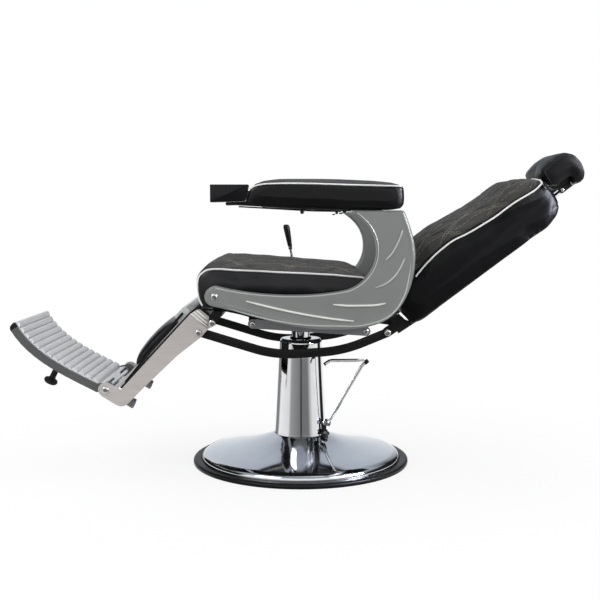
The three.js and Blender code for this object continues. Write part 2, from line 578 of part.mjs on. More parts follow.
// ---------------------------------------------------------------- legrest
function buildLegrest() {
  const { inner, outer } = LEG_PLATE;
  const plate = new THREE.Shape();
  plate.moveTo(-315, 473);
  plate.lineTo(-297, 485);
  plate.lineTo(-287, 486.5);
  plate.lineTo(-262, 466);
  plate.lineTo(-262, 458);
  plate.lineTo(-245, 455);
  plate.lineTo(-243, 441);
  plate.lineTo(-263, 431);
  plate.lineTo(-283, 408);
  plate.lineTo(-351, 355);
  plate.lineTo(-409, 300);
  plate.lineTo(-457, 254);
  plate.lineTo(-494, 216);
  plate.quadraticCurveTo(-511, 200, -530, 211);
  plate.lineTo(-572, 237);
  plate.absarc(FOOT.hingeX, FOOT.hingeZ, 21, -2.2, 1.1, true);
  plate.lineTo(-517, 254);
  const drilled = cut(slab(plate, -outer, -inner, 0, 5),
    hole(LEG_PIVOT.x, LEG_PIVOT.z, BOLT.radius + FIT, -210, -190),
    hole(LEG_PIVOT.x + CRANK.x, LEG_PIVOT.z + CRANK.z, BOLT.radius + FIT, -210, -190),
    hole(FOOT.hingeX, FOOT.hingeZ, BOLT.radius + FIT, -210, -190));
  addPair(chair, 'leg_side_plate', drilled, 'plate');
  for (const [side, name] of [[-1, 'left'], [1, 'right']]) {
    addMesh(chair, `leg_pivot_bolt_${name}`,
      bolt(LEG_PIVOT.x, LEG_PIVOT.z, side * 190, side * 210), 'chrome');
    addMesh(chair, `front_link_bolt_${name}`, bolt(LEG_PIVOT.x + CRANK.x, LEG_PIVOT.z + CRANK.z,
      side * 176, side * outer, 6.5), 'chrome');
  }
  const rod = join(rodY(FOOT.hingeX, FOOT.hingeZ, BOLT.radius, -202, 202, 14),
    rodY(FOOT.hingeX, FOOT.hingeZ, BOLT.head, -206, -201.4, 12),
    rodY(FOOT.hingeX, FOOT.hingeZ, BOLT.head, 201.4, 206, 12));
  addMesh(chair, 'footrest_hinge_rod', rod, 'chrome');

  const leg = sloped(LEG_PIVOT, LEG_ANGLE);
  const board = join(slab(outline([[-318, 63.5], [-28, 63.5], [-28, 68], [-318, 68]]), -201, 201),
    slab(outline([[-318, 40], [-300, 40], [-300, 64], [-318, 64]]), -194, 194),
    slab(outline([[-60, 24], [-42, 24], [-42, 64], [-60, 64]]), -194, 194));
  addMesh(leg, 'leg_board', board, 'board');
  const panel = slab(outline([[-322, 68.3], [-26, 68.3], [-20, 74], [-20, 86], [-28, 92], [-64, 92],
    [-67, 71.5], [-252, 71.5], [-254, 78], [-318, 74]]), -186, 186);
  addMesh(leg, 'leg_panel', panel, 'plate');

  const corners = [[-250, 72], [-68.5, 72], [-67.5, 90], [-76, 97], [-225, 97], [-244, 88]];
  const side = stretch(corners, [6, 1, 1, 8, 1, 1]);
  const pad = cushion({ side, from: 8, to: 16, half: 184, rows: 10, edge: 0.06, crown: 8, channel: 0,
    floor: () => 72 });
  addMesh(leg, 'calf_cushion', pad, 'leather');

  const foot = turnedAlong([[0, 0], [12, 0], [15, 26], [14, 29], [0, 29], [0, 0]],
    [-510, -157, 217], [0.91, 0, -0.41], 16);
  addPair(chair, 'leg_rubber_foot', foot, 'rubber');
}

// ---------------------------------------------------------------- footrest
const footCurve = new THREE.CubicBezierCurve(new THREE.Vector2(-591, 242), new THREE.Vector2(-680, 289),
  new THREE.Vector2(-791, 334), new THREE.Vector2(-845, 437));

// A point beside the footrest's lower edge: t along it, off square to it.
function beside(t, off) {
  const p = footCurve.getPointAt(clamp01(t));
  const along = footCurve.getTangentAt(clamp01(t));
  return [p.x + along.y * off, p.y - along.x * off];
}

function buildFootrest() {
  const top = [];
  const shape = [[0, 0], [0.12, 0.7], [0.35, 1], [0.65, 1], [0.88, 0.7]];
  const run = (t) => FOOT.start + (FOOT.end - FOOT.start) * t;
  for (let i = 0; i < FOOT.ribs; i++) {
    for (const [phase, height] of shape) {
      top.push(beside(run((i + phase) / FOOT.ribs), FOOT.depth + FOOT.rib * height));
    }
  }
  top.push(beside(FOOT.end, FOOT.depth));
  const under = [];
  for (let i = 12; i >= 0; i--) under.push(beside(run(i / 12), FOOT.depth - 9));
  addMesh(chair, 'footrest_deck', slab(outline([...top, ...under]), -FOOT.half, FOOT.half), 'rib');

  const low = [];
  const high = [];
  for (let i = 0; i <= 12; i++) {
    low.push(beside((0.955 * i) / 12, 0));
    high.unshift(beside((0.985 * i) / 12, FOOT.depth));
  }
  low.push(beside(0.981, 5), beside(0.995, 19));
  const { hingeX, hingeZ } = FOOT;
  const eye = rodY(hingeX, hingeZ, 18, -FOOT.rail, -FOOT.half - FIT, 20);
  const neck = slab(outline([[-596, 244.5], [hingeX + 2, 237.5], [hingeX + 6, 272], [-586, 268]]),
    -FOOT.rail, -FOOT.half - FIT);
  const boss = rodY(hingeX, hingeZ, 12, -LEG_PLATE.inner + FIT, -FOOT.rail + 1, 16);
  const rail = join(slab(outline([...low, ...high]), -FOOT.rail, -FOOT.half - FIT), neck, eye, boss);
  addPair(chair, 'footrest_rail', cut(rail, hole(hingeX, hingeZ, BOLT.radius + FIT, -200, -160)), 'rail');

  const [bx, bz] = beside(0.5, 9);
  const bumper = turnedAlong([[0, 0], [9, 0], [9, 58], [20, 61], [21, 69], [15, 75], [0, 75], [0, 0]],
    [bx, -120, bz], [-0.44, 0, -0.9], 18);
  const bracket = slab(outline([beside(0.42, 11.5), beside(0.58, 11.5), beside(0.58, 6), beside(0.42, 6)]),
    -136, -104);
  addPair(chair, 'footrest_bumper', join(bumper, bracket), 'rubber');
}

buildBase();
buildColumn();
buildPedal();
buildSeatFrame();
buildSeat();
buildArms();
buildLever();
buildBack();
buildHeadrest();
buildLinks();
buildLegrest();
buildFootrest();

export default chair;
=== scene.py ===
import math

import bmesh
import bpy
import numpy as np
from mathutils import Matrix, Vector
from mathutils.bvhtree import BVHTree
from mathutils.geometry import delaunay_2d_cdt


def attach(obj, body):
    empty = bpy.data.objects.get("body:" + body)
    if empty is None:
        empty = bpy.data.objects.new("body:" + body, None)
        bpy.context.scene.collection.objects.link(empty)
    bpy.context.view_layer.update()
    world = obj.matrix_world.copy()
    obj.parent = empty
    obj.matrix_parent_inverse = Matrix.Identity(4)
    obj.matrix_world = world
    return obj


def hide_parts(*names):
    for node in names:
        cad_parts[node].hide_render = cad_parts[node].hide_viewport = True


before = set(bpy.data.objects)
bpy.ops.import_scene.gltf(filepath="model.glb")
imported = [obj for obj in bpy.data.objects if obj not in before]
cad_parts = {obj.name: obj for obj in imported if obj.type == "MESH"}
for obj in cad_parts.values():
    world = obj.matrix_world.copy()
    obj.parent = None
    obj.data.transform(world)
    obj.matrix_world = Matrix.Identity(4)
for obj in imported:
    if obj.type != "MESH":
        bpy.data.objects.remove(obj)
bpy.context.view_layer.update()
MM = 0.001
SIDES = (("left", -1), ("right", 1))


# ---------------------------------------------------------------- frames of reference
class Tilt:
    """A frame pitched in the X-Z plane: a along it, y across it, m square to it, in millimetres."""

    def __init__(self, x, z, degrees):
        self.x, self.z = x, z
        self.cos, self.sin = math.cos(math.radians(degrees)), math.sin(math.radians(degrees))

    def at(self, a, y, m):
        return Vector((self.x + a * self.cos - m * self.sin, y, self.z + a * self.sin + m * self.cos))

    def world(self, a, y, m):
        return np.array([self.at(*p) for p in zip(a, y, m)])

    def local(self, co):
        dx, dz = co[:, 0] - self.x, co[:, 2] - self.z
        return dx * self.cos + dz * self.sin, co[:, 1], -dx * self.sin + dz * self.cos


BACK = Tilt(289.0, 447.0, 33.5)
LEG = Tilt(-251.5, 448.5, 47.2)


# ---------------------------------------------------------------- node materials
class Nodes:
    """Short names for the nodes of one tree."""

    def new(self, kind, feeds=None, **values):
        """A node. feeds gives its inputs, each a plain value or another node's output."""
        node = self.tree.nodes.new(kind)
        for key, value in values.items():
            setattr(node, key, value)
        self.feed(node, feeds or {})
        return node

    def feed(self, node, feeds):
        for key, value in feeds.items():
            if isinstance(value, bpy.types.NodeSocket):
                self.tree.links.new(value, node.inputs[key])
            else:
                node.inputs[key].default_value = value

    def noise(self, scale, detail=3.0, rough=0.5, stretch=None):
        where = self.coord
        if stretch:
            where = self.new("ShaderNodeMapping", {"Vector": where, "Scale": stretch}).outputs["Vector"]
        feeds = {"Vector": where, "Scale": scale, "Detail": detail, "Roughness": rough}
        return self.new("ShaderNodeTexNoise", feeds).outputs["Fac"]

    def cells(self, scale):
        return self.new("ShaderNodeTexVoronoi", {"Vector": self.coord, "Scale": scale}).outputs["Distance"]

    def remap(self, value, low, high, out_low, out_high):
        feeds = {"Value": value, "From Min": low, "From Max": high, "To Min": out_low, "To Max": out_high}
        return self.new("ShaderNodeMapRange", feeds).outputs["Result"]

    def ramp(self, value, stops):
        node = self.new("ShaderNodeValToRGB", {"Fac": value})
        points = node.color_ramp.elements
        while len(points) < len(stops):
            points.new(0.5)
        for point, (place_at, colour) in zip(points, stops):
            point.position = place_at
            point.color = (*colour, 1)
        return node.outputs["Color"]

    def math(self, operation, a, b=0.0):
        return self.new("ShaderNodeMath", {0: a, 1: b}, operation=operation).outputs["Value"]

    def bump(self, height, strength, distance, below=None):
        feeds = {"Height": height, "Strength": strength, "Distance": distance}
        if below is not None:
            feeds["Normal"] = below
        return self.new("ShaderNodeBump", feeds).outputs["Normal"]


class Surface(Nodes):
    """The nodes of one material, whose texture lies in the object's own space."""

    def __init__(self, name):
        self.mat = bpy.data.materials.new(name)
        self.mat.use_nodes = True
        self.tree = self.mat.node_tree
        self.coord = self.new("ShaderNodeTexCoord").outputs["Object"]

    def finish(self, colour, rough, normal, uniform):
        feeds = {"Base Color": colour, "Roughness": rough, "Normal": normal, **uniform}
        self.feed(self.tree.nodes["Principled BSDF"], feeds)
        return self.mat


def tint(colour, factor):
    return tuple(min(1.0, c * factor) for c in colour)


def worn(name, colour, rough, metallic, vary, fine, relief=0.00008, specular=0.2):
    """Painted, cast or plated metal, or rubber, with slight tone, gloss and surface changes."""
    g = Surface(name)
    shade = g.ramp(g.noise(7.0, 4.0, 0.55), [(0.3, tint(colour, 1 - vary)), (0.7, tint(colour, 1 + vary))])
    gloss = g.remap(g.noise(60.0, 3.0, 0.6), 0.3, 0.7, rough * 0.9, rough * 1.12)
    normal = g.bump(g.noise(fine, 2.0, 0.5), 0.35, relief)
    return g.finish(shade, gloss, normal, {"Metallic": metallic, "Specular IOR Level": specular})


def leather(name, colour, rough=0.42, pebble=520.0, depth=0.00035, specular=0.2):
    """Smooth upholstery vinyl with a pressed pebble grain and soft creases."""
    g = Surface(name)
    cells = g.cells(pebble)
    creases = g.noise(38.0, 5.0, 0.6, (1.0, 1.6, 1.0))
    shade = g.ramp(g.noise(5.0, 4.0, 0.6), [(0.3, tint(colour, 0.82)), (0.72, tint(colour, 1.22))])
    gloss = g.remap(g.math("ADD", g.math("MULTIPLY", cells, 0.35), creases), 0.3, 0.95, rough * 0.86, rough * 1.2)
    normal = g.bump(cells, 0.28, depth, g.bump(creases, 0.16, 0.0022))
    return g.finish(shade, gloss, normal, {"Specular IOR Level": specular})


def chrome(name, colour=(0.80, 0.81, 0.83), rough=0.045):
    """Mirror plate with faint polishing haze."""
    g = Surface(name)
    haze = g.noise(26.0, 4.0, 0.6)
    shade = g.ramp(haze, [(0.3, tint(colour, 0.97)), (0.7, tint(colour, 1.02))])
    gloss = g.remap(haze, 0.3, 0.75, rough * 0.7, rough * 1.5)
    return g.finish(shade, gloss, g.bump(g.noise(11.0, 2.0, 0.5), 0.05, 0.0004), {"Metallic": 1.0})


def brushed(name, colour, rough, metallic, stretch=(0.05, 1.0, 1.0), fine=420.0):
    """Metal brushed along one direction."""
    g = Surface(name)
    lines = g.noise(fine, 3.0, 0.6, stretch)
    shade = g.ramp(lines, [(0.25, tint(colour, 0.93)), (0.75, tint(colour, 1.06))])
    gloss = g.remap(lines, 0.25, 0.75, rough * 0.85, rough * 1.2)
    normal = g.bump(lines, 0.12, 0.00006, g.bump(g.noise(9.0, 2.0, 0.5), 0.05, 0.0006))
    return g.finish(shade, gloss, normal, {"Metallic": metallic})


M = {
    "chrome": chrome("chrome"),
    "dome": chrome("dome_chrome", (0.76, 0.78, 0.81), 0.07),
    "bolt": chrome("bolt_chrome", (0.70, 0.69, 0.67), 0.14),
    "dark_chrome": chrome("collar_chrome", (0.34, 0.345, 0.36), 0.16),
    "steel": worn("black_powder_coat", (0.0065, 0.0065, 0.0070), 0.45, 0.0, 0.15, 700.0),
    "rubber": worn("black_rubber", (0.0055, 0.0055, 0.0060), 0.38, 0.0, 0.18, 1100.0, 0.00006, 0.25),
    "rubber_dull": worn("dull_rubber", (0.0075, 0.0075, 0.0080), 0.6, 0.0, 0.2, 900.0),
    "grey_rubber": worn("grey_rubber", (0.17, 0.17, 0.17), 0.6, 0.0, 0.15, 900.0),
    "arm": worn("arm_silver_paint", (0.205, 0.215, 0.205), 0.42, 0.15, 0.035, 1500.0, 0.00004, 0.4),
    # the arm's light edge and bright crest colours are painted highlights on its raised lines
    "arm_edge_highlight": worn("arm_painted_highlight_edge", (0.50, 0.51, 0.485), 0.34, 0.3, 0.03, 1500.0, 0.00003, 0.4),
    "arm_crest_highlight": worn("arm_painted_highlight_crest", (0.86, 0.86, 0.80), 0.30, 0.2, 0.02, 1500.0, 0.00003, 0.5),
    "plate": brushed("satin_leg_plate", (0.56, 0.52, 0.50), 0.42, 0.35),
    "trim": brushed("polished_plate_trim", (0.70, 0.68, 0.66), 0.18, 0.9),
    "side_bar": brushed("satin_side_bar", (0.19, 0.195, 0.20), 0.38, 0.4),
    "panel": brushed("satin_leg_panel", (0.74, 0.74, 0.74), 0.34, 0.5, (1.0, 0.05, 1.0), 160.0),
    "rib": worn("cast_aluminium", (0.61, 0.61, 0.62), 0.48, 0.15, 0.04, 800.0, 0.00010, 0.5),
    "rail": worn("dark_grey_paint", (0.100, 0.102, 0.102), 0.42, 0.1, 0.08, 1300.0, 0.00005, 0.3),
    "board": worn("wrapped_board", (0.007, 0.007, 0.007), 0.6, 0.0, 0.2, 600.0, 0.0001),
    "iron": worn("painted_iron", (0.030, 0.031, 0.033), 0.5, 0.1, 0.12, 500.0, 0.00015),
    "gloss": worn("polished_black", (0.0036, 0.0036, 0.0048), 0.34, 0.0, 0.1, 300.0, 0.00001, 0.22),
    "leather": leather("black_vinyl", (0.0060, 0.0059, 0.0063), 0.36, specular=0.15),
    "leather_gloss": leather("black_vinyl_gloss", (0.0060, 0.0060, 0.0075), 0.33, specular=0.34),
    # the back's and the pads' copies of the black vinyl are darker than the seat's: painted shade
    "leather_back": leather("black_vinyl_back_painted_shade", (0.0024, 0.0024, 0.0030), 0.33, specular=0.14),
    "leather_pad": leather("black_vinyl_pad_painted_shade", (0.0040, 0.0040, 0.0048), 0.30, specular=0.24),
    "quilt": leather("quilted_vinyl", (0.031, 0.029, 0.025), 0.50, 620.0, specular=0.3),
    # the seat's quilted vinyl is a lighter copy of the back's: painted light on its upward face
    "quilt_seat_lit": leather("quilted_vinyl_seat_painted_light", (0.045, 0.043, 0.039), 0.50, 620.0, specular=0.3),
    "piping": leather("white_piping", (0.84, 0.83, 0.80), 0.40, 900.0, 0.0001, 0.4),
    "dark_piping": leather("black_piping", (0.012, 0.012, 0.013), 0.34, 900.0, 0.0001, 0.4),
    "thread": leather("seam_thread", (0.27, 0.25, 0.20), 0.6, 1400.0, 0.0001, 0.3),
    "dark_thread": leather("dark_seam_thread", (0.055, 0.054, 0.052), 0.6, 1400.0, 0.0001, 0.3),
}
# a slot name for each look, which place() looks up for new rigid pieces but does not keep
SLOT = {look: slot for slot, looks in {
    "chrome": ("chrome", "dome", "bolt", "dark_chrome"), "black_steel": ("steel",),
    "rubber": ("rubber", "rubber_dull", "grey_rubber"),
    "arm_casting": ("arm", "arm_edge_highlight", "arm_crest_highlight", "side_bar"),
    "leg_plate": ("trim", "panel"), "footrest_ribs": ("rib",), "gloss_black": ("gloss",)}.items() for look in looks}


# ---------------------------------------------------------------- mesh helpers
def edited(mesh, change):
    """Apply a change to a mesh in its editable form."""
    bm = bmesh.new()
    bm.from_mesh(mesh)
    change(bm)
    bm.to_mesh(mesh)
    bm.free()


def sharpen(mesh, degrees):
    """Smooth shading that breaks at edges steeper than the given angle."""
    def change(bm):
        for face in bm.faces:
            face.smooth = True
        for edge in bm.edges:
            edge.smooth = len(edge.link_faces) == 2 and edge.calc_face_angle(0.0) < math.radians(degrees)
    edited(mesh, change)


def weld(obj, distance=1e-5, sharp=None):
    """Join points that lie together."""
    def change(bm):
        bmesh.ops.remove_doubles(bm, verts=bm.verts, dist=distance)
        bmesh.ops.dissolve_degenerate(bm, edges=bm.edges, dist=1e-7)
        bmesh.ops.recalc_face_normals(bm, faces=bm.faces)
    edited(obj.data, change)
    if sharp:
        sharpen(obj.data, sharp)
    return obj


def place(name, mesh, look, body, slot=None, replaces=()):
    """A named object for a mesh, with its look, body and the CAD nodes it stands for; slot is not used."""
    obj = bpy.data.objects.new(name, mesh)
    bpy.context.scene.collection.objects.link(obj)
    if look:
        mesh.materials.append(M[look])
    if body:
        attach(obj, body)
    slot = slot or SLOT.get(look)
    if replaces:
        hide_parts(*replaces)
    return obj


def piece(name, solid, look, body, replaces=(), sharp=35.0, slot=None):
    """A mesh from (millimetre points, faces), riding on a body."""
    verts, faces = solid
    mesh = bpy.data.meshes.new(name)
    mesh.from_pydata([tuple(float(c) * MM for c in v) for v in verts], [], [list(f) for f in faces])
    mesh.update()
    edited(mesh, lambda bm: bmesh.ops.recalc_face_normals(bm, faces=bm.faces))
    sharpen(mesh, sharp)
    return place(name, mesh, look, body, slot, replaces)


def skin(rings, closed=False, caps=True):
    """Vertices and faces over rings of equal length. closed joins the last ring to the first."""
    n, rows = len(rings[0]), len(rings)
    faces = []
    for k in range(rows if closed else rows - 1):
        here, there = k * n, (k + 1) % rows * n
        faces += [(here + i, here + (i + 1) % n, there + (i + 1) % n, there + i) for i in range(n)]
    if caps and not closed:
        faces += [tuple(range(n)), tuple(range((rows - 1) * n, rows * n))]
    return [p for ring in rings for p in ring], faces


def turns(count):
    """Angles of a full circle in equal steps."""
    return [2 * math.pi * k / count for k in range(count)]


def ring_about(axis, radius, count):
    """Offsets of a circle about an axis."""
    side = axis.orthogonal().normalized()
    other = axis.cross(side)
    return [(side * math.cos(t) + other * math.sin(t)) * radius for t in turns(count)]


def rounded(points, radius, steps=5, closed=True):
    """A 2D outline with its corners turned into arcs. radius is one number or one per corner."""
    n = len(points)
    out = []
    for i, p in enumerate(points):
        r = radius[i] if isinstance(radius, list) else radius
        if (not closed and i in (0, n - 1)) or r <= 0:
            out.append(tuple(p))
            continue
        p = Vector(p)
        a, b = Vector(points[i - 1]) - p, Vector(points[(i + 1) % n]) - p
        reach = min(r, a.length * 0.48, b.length * 0.48)
        start, end = p + a.normalized() * reach, p + b.normalized() * reach
        for k in range(steps + 1):
            t = k / steps
            out.append(tuple(start * (1 - t) ** 2 + p * 2 * t * (1 - t) + end * t * t))
    return out


def bezier(p0, p1, p2, p3, count):
    """Points of a cubic curve, without its last."""
    out = []
    for k in range(count):
        t = k / count
        out.append(tuple((1 - t) ** 3 * a + 3 * (1 - t) ** 2 * t * b + 3 * (1 - t) * t * t * c + t ** 3 * d
                         for a, b, c, d in zip(p0, p1, p2, p3)))
    return out


def smooth_path(points, count, tension=0.5, closed=False):
    """A Catmull-Rom path through points, count steps per span."""
    pts = [Vector(p) for p in points]
    n = len(pts)
    out = []
    for i in range(n if closed else n - 1):
        p1, p2 = pts[i], pts[(i + 1) % n]
        p0 = pts[i - 1] if (i or closed) else p1 * 2 - p2
        p3 = pts[(i + 2) % n] if (i + 2 < n or closed) else p2 * 2 - p1
        t1, t2 = (p2 - p0) * tension, (p3 - p1) * tension
        for k in range(count):
            t = k / count
            a = 2 * t ** 3 - 3 * t ** 2 + 1
            b = t ** 3 - 2 * t ** 2 + t
            out.append(p1 * a + t1 * b + p2 * (-2 * t ** 3 + 3 * t ** 2) + t2 * (t ** 3 - t ** 2))
    return out if closed else out + [pts[-1]]


def softened(points, closed=False):
    """A path with its small kinks averaged out."""
    pts = [Vector(p) for p in points]
    for _ in range(3):
        inner = [(a + b * 2 + c) / 4 for a, b, c in zip(pts, pts[1:], pts[2:])]
        if closed:
            pts = [(pts[-1] + pts[0] * 2 + pts[1]) / 4] + inner + [(pts[-2] + pts[-1] * 2 + pts[0]) / 4]
        else:
            pts = [pts[0]] + inner + [pts[-1]]
    return pts


def lathe(name, profile, look, body, segments=144, replaces=(), centre=(0, 0)):
    """A closed [radius, height] profile turned about a vertical axis."""
    verts, faces = skin([[(centre[0] + r * math.cos(t), centre[1] + r * math.sin(t), z) for r, z in profile]
                         for t in turns(segments)], closed=True)
    n = len(profile)
    faces = [f for f in faces if profile[f[0] % n][0] + profile[f[1] % n][0] > 1e-6]
    return weld(piece(name, (verts, faces), look, body, replaces, 30.0), sharp=30.0)


def turned(name, profile, start, direction, look, body, replaces=()):
    """An open [radius, height] profile turned about any axis."""
    axis = Vector(direction).normalized()
    rings = [[Vector(start) + axis * h + off for off in ring_about(axis, r, 48)] for r, h in profile]
    return weld(piece(name, skin(rings, caps=False), look, body, replaces), sharp=35)


def prism(name, outline, y0, y1, look, body, bevel=1.0, rows=2, replaces=(), slot=None):
    """An outline in X and Z carried from y0 to y1 with a rounded edge."""
    pts = [Vector(p) for p in outline]
    if sum(a.x * b.y - b.x * a.y for a, b in zip(pts, pts[1:] + pts[:1])) < 0:
        pts.reverse()
    inward = []
    for i, p in enumerate(pts):
        a, b = (p - pts[i - 1]), (pts[(i + 1) % len(pts)] - p)
        if a.length < 1e-9 or b.length < 1e-9:
            inward.append(inward[-1] if inward else Vector((0, 0)))
            continue
        na, nb = Vector((-a.y, a.x)).normalized(), Vector((-b.y, b.x)).normalized()
        mid = na + nb
        inward.append(mid / max(0.35, mid.length_squared / 2) if mid.length > 1e-6 else na)
    rings = []
    for end, sign in zip(sorted((y0, y1)), (1, -1)):
        part = []
        for k in range(rows + 1):
            t = math.pi / 2 * k / rows
            inset, at = bevel * (1 - math.sin(t)), end + sign * bevel * (1 - math.cos(t))
            part.append([(q.x, at, q.y) for q in (p + v * inset for p, v in zip(pts, inward))])
        rings += part[::sign]
    return piece(name, skin(rings), look, body, replaces, 38.0, slot)


def tube(name, points, radius, look, body, sides=12, closed=False, replaces=(), slot=None):
    """A round tube through points. radius is one number or one per point."""
    pts = [Vector(p) for p in points]
    n = len(pts)
    radii = radius if isinstance(radius, list) else [radius] * n
    rings, side = [], None
    for i, p in enumerate(pts):
        a = pts[i - 1] if (i or closed) else pts[0]
        b = pts[(i + 1) % n] if (i + 1 < n or closed) else pts[-1]
        along = (b - a).normalized()
        side = (along.orthogonal() if side is None else side - along * side.dot(along)).normalized()
        other = along.cross(side).normalized()
        rings.append([p + (side * math.cos(t) + other * math.sin(t)) * radii[i] for t in turns(sides)])
    return piece(name, skin(rings, closed), look, body, replaces, 50.0, slot)


def screw(name, at, axis, radius, height, body, look="bolt"):
    """A domed head with a hexagon socket whose inside is painted dark as painted shade, its base at the point and its
    top along the axis.
    """
    axis = Vector(axis).normalized()
    ax = axis.orthogonal().normalized()
    az = axis.cross(ax)
    count, sixth = 36, math.pi / 3
    rings = []
    for r, h in ((1, 0), (1, 0.35), (0.93, 0.62), (0.76, 0.88), (0.56, 0.97), (0.40, 1), (0.38, 0.94), (0.36, 0.35)):
        ring = []
        for t in turns(count):
            q = radius * r / (math.cos(t % sixth - sixth / 2) if r < 0.5 else 1.0)
            ring.append(Vector(at) + axis * (height * h) + ax * q * math.cos(t) + az * q * math.sin(t))
        rings.append(ring)
    obj = piece(name, skin(rings), look, body, (), 40.0, "chrome")
    obj.data.materials.append(M["side_bar"])
    # the socket's walls and floor take a darker material: painted shade in the recess
    faces = list(obj.data.polygons)
    for face in faces[-1 - 2 * count:-2] + faces[-1:]:
        face.material_index = 1


def read(items, field, width=3, kind=float):
    """One property of all vertices, edges or faces as an array."""
    out = np.zeros(len(items) * width, kind)
    items.foreach_get(field, out)
    return out.reshape(-1, width)


def coords(obj):
    """An object's points in millimetres."""
    return read(obj.data.vertices, "co") * 1000.0


def set_coords(obj, co):
    obj.data.vertices.foreach_set("co", (np.asarray(co) * MM).astype(np.float32).ravel())
    obj.data.update()


def modifier(obj, kind, **values):
    made = obj.modifiers.new(kind.lower(), kind)
    for key, value in values.items():
        setattr(made, key, value)
    return made


def modified(obj, kind, **values):
    """Give the object a modifier and apply it."""
    modifier(obj, kind, **values)
    mesh = bpy.data.meshes.new_from_object(obj.evaluated_get(bpy.context.evaluated_depsgraph_get()))
    obj.modifiers.clear()
    old, obj.data = obj.data, mesh
    name = old.name
    bpy.data.meshes.remove(old)
    mesh.name = name


# edges of the CAD nodes steeper than this many degrees are softened
CREASE = 32


def bevelled(node, look, width, segments=2):
    """A CAD node with a finished material and softened edges."""
    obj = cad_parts[node]
    obj.data.materials.clear()
    obj.data.materials.append(M[look])
    sharpen(obj.data, CREASE)
    modifier(obj, "BEVEL", width=width * MM, segments=segments, limit_method="ANGLE",
             angle_limit=math.radians(CREASE), harden_normals=True)


def surface_tree(obj):
    verts = [Vector(v.co) * 1000.0 for v in obj.data.vertices]
    return BVHTree.FromPolygons(verts, [tuple(p.vertices) for p in obj.data.polygons])


def onto(tree, points, lift):
    """Points moved to the nearest place on a surface, then lifted off it."""
    hits = [tree.find_nearest(Vector(p)) for p in points]
    return [hit[0] + hit[1] * lift for hit in hits]


def interp(x, table):
    """A table of (x, value) read at x, straight between its rows."""
    return np.interp(x, [p[0] for p in table], [p[1] for p in table])


def nearest_band(points, line):
    """Distance of each (x, z) point to a polyline, how far along it the nearest place is, and its length."""
    best = np.full(len(points), 1e9)
    along = np.zeros(len(points))
    run = 0.0
    for (x0, z0), (x1, z1) in zip(line, line[1:]):
        d = np.array([x1 - x0, z1 - z0])
        length = float(np.hypot(*d))
        t = np.clip(((points - [x0, z0]) @ d) / max(length ** 2, 1e-9), 0, 1)
        gap = np.hypot(points[:, 0] - x0 - t * d[0], points[:, 1] - z0 - t * d[1])
        closer = gap < best
        best[closer], along[closer] = gap[closer], run + t[closer] * length
        run += length
    return best, along, run


def fade_in(value, span):
    """0 below 0, 1 above the span and even between them."""
    return np.clip(value / span, 0, 1)


def ridge(distance, width):
    """1 on a seam, falling smoothly to 0 at width."""
    return (1 - fade_in(distance, width) * fade_in(distance, width)) ** 2


def pinched(profile, pipe, y, half, reach=10, inset=3, width=16, pull=2.2):
    """The y of a cushion's points, drawn in where its sides meet the piping. profile has their other two parts."""
    seam = nearest_band(np.column_stack(profile), pipe)[0]
    return y - np.sign(y) * ridge(seam, reach) * ridge(np.abs(np.abs(y) - half + inset), width) * pull


# ---------------------------------------------------------------- base, pedal and links
def plain_nodes():
    """CAD nodes whose shape is right, each with its finished material and the width of its softened edges."""
    for node, look, width in (
            ("base_plate", "iron", 0.8), ("pump_cylinder", "iron", 0.6), ("pump_housing", "iron", 0.6),
            ("swivel_bearing", "steel", 0.3), ("swivel_hub", "iron", 0.8), ("seat_frame", "steel", 0.8),
            ("seat_board", "board", 0.8), ("back_hinge_frame", "steel", 0.8), ("back_pivot_shaft", "steel", 0.6),
            ("headrest_guide", "steel", 0.8), ("headrest_hinge", "steel", 0.8), ("headrest_bar", "chrome", 0.6),
            ("headrest_pivot_pin", "chrome", 0.6), ("leg_board", "board", 0.6), ("leg_panel", "panel", 0.5),
            ("footrest_hinge_rod", "bolt", 0.8), ("recline_lever_rod", "dark_chrome", 0.4)):
        bevelled(node, look, width)
    for side, _ in SIDES:
        for node, look, width in (
                ("seat_side_bar", "side_bar", 0.8), ("arm_support_bar", "steel", 0.5),
                ("leg_side_plate", "plate", 0.8), ("footrest_rail", "rail", 1.0),
                ("leg_pivot_bolt", "bolt", 0.8), ("rear_link_bolt", "bolt", 0.8),
                ("front_link_bolt", "bolt", 0.8)):
            bevelled("%s_%s" % (node, side), look, width)


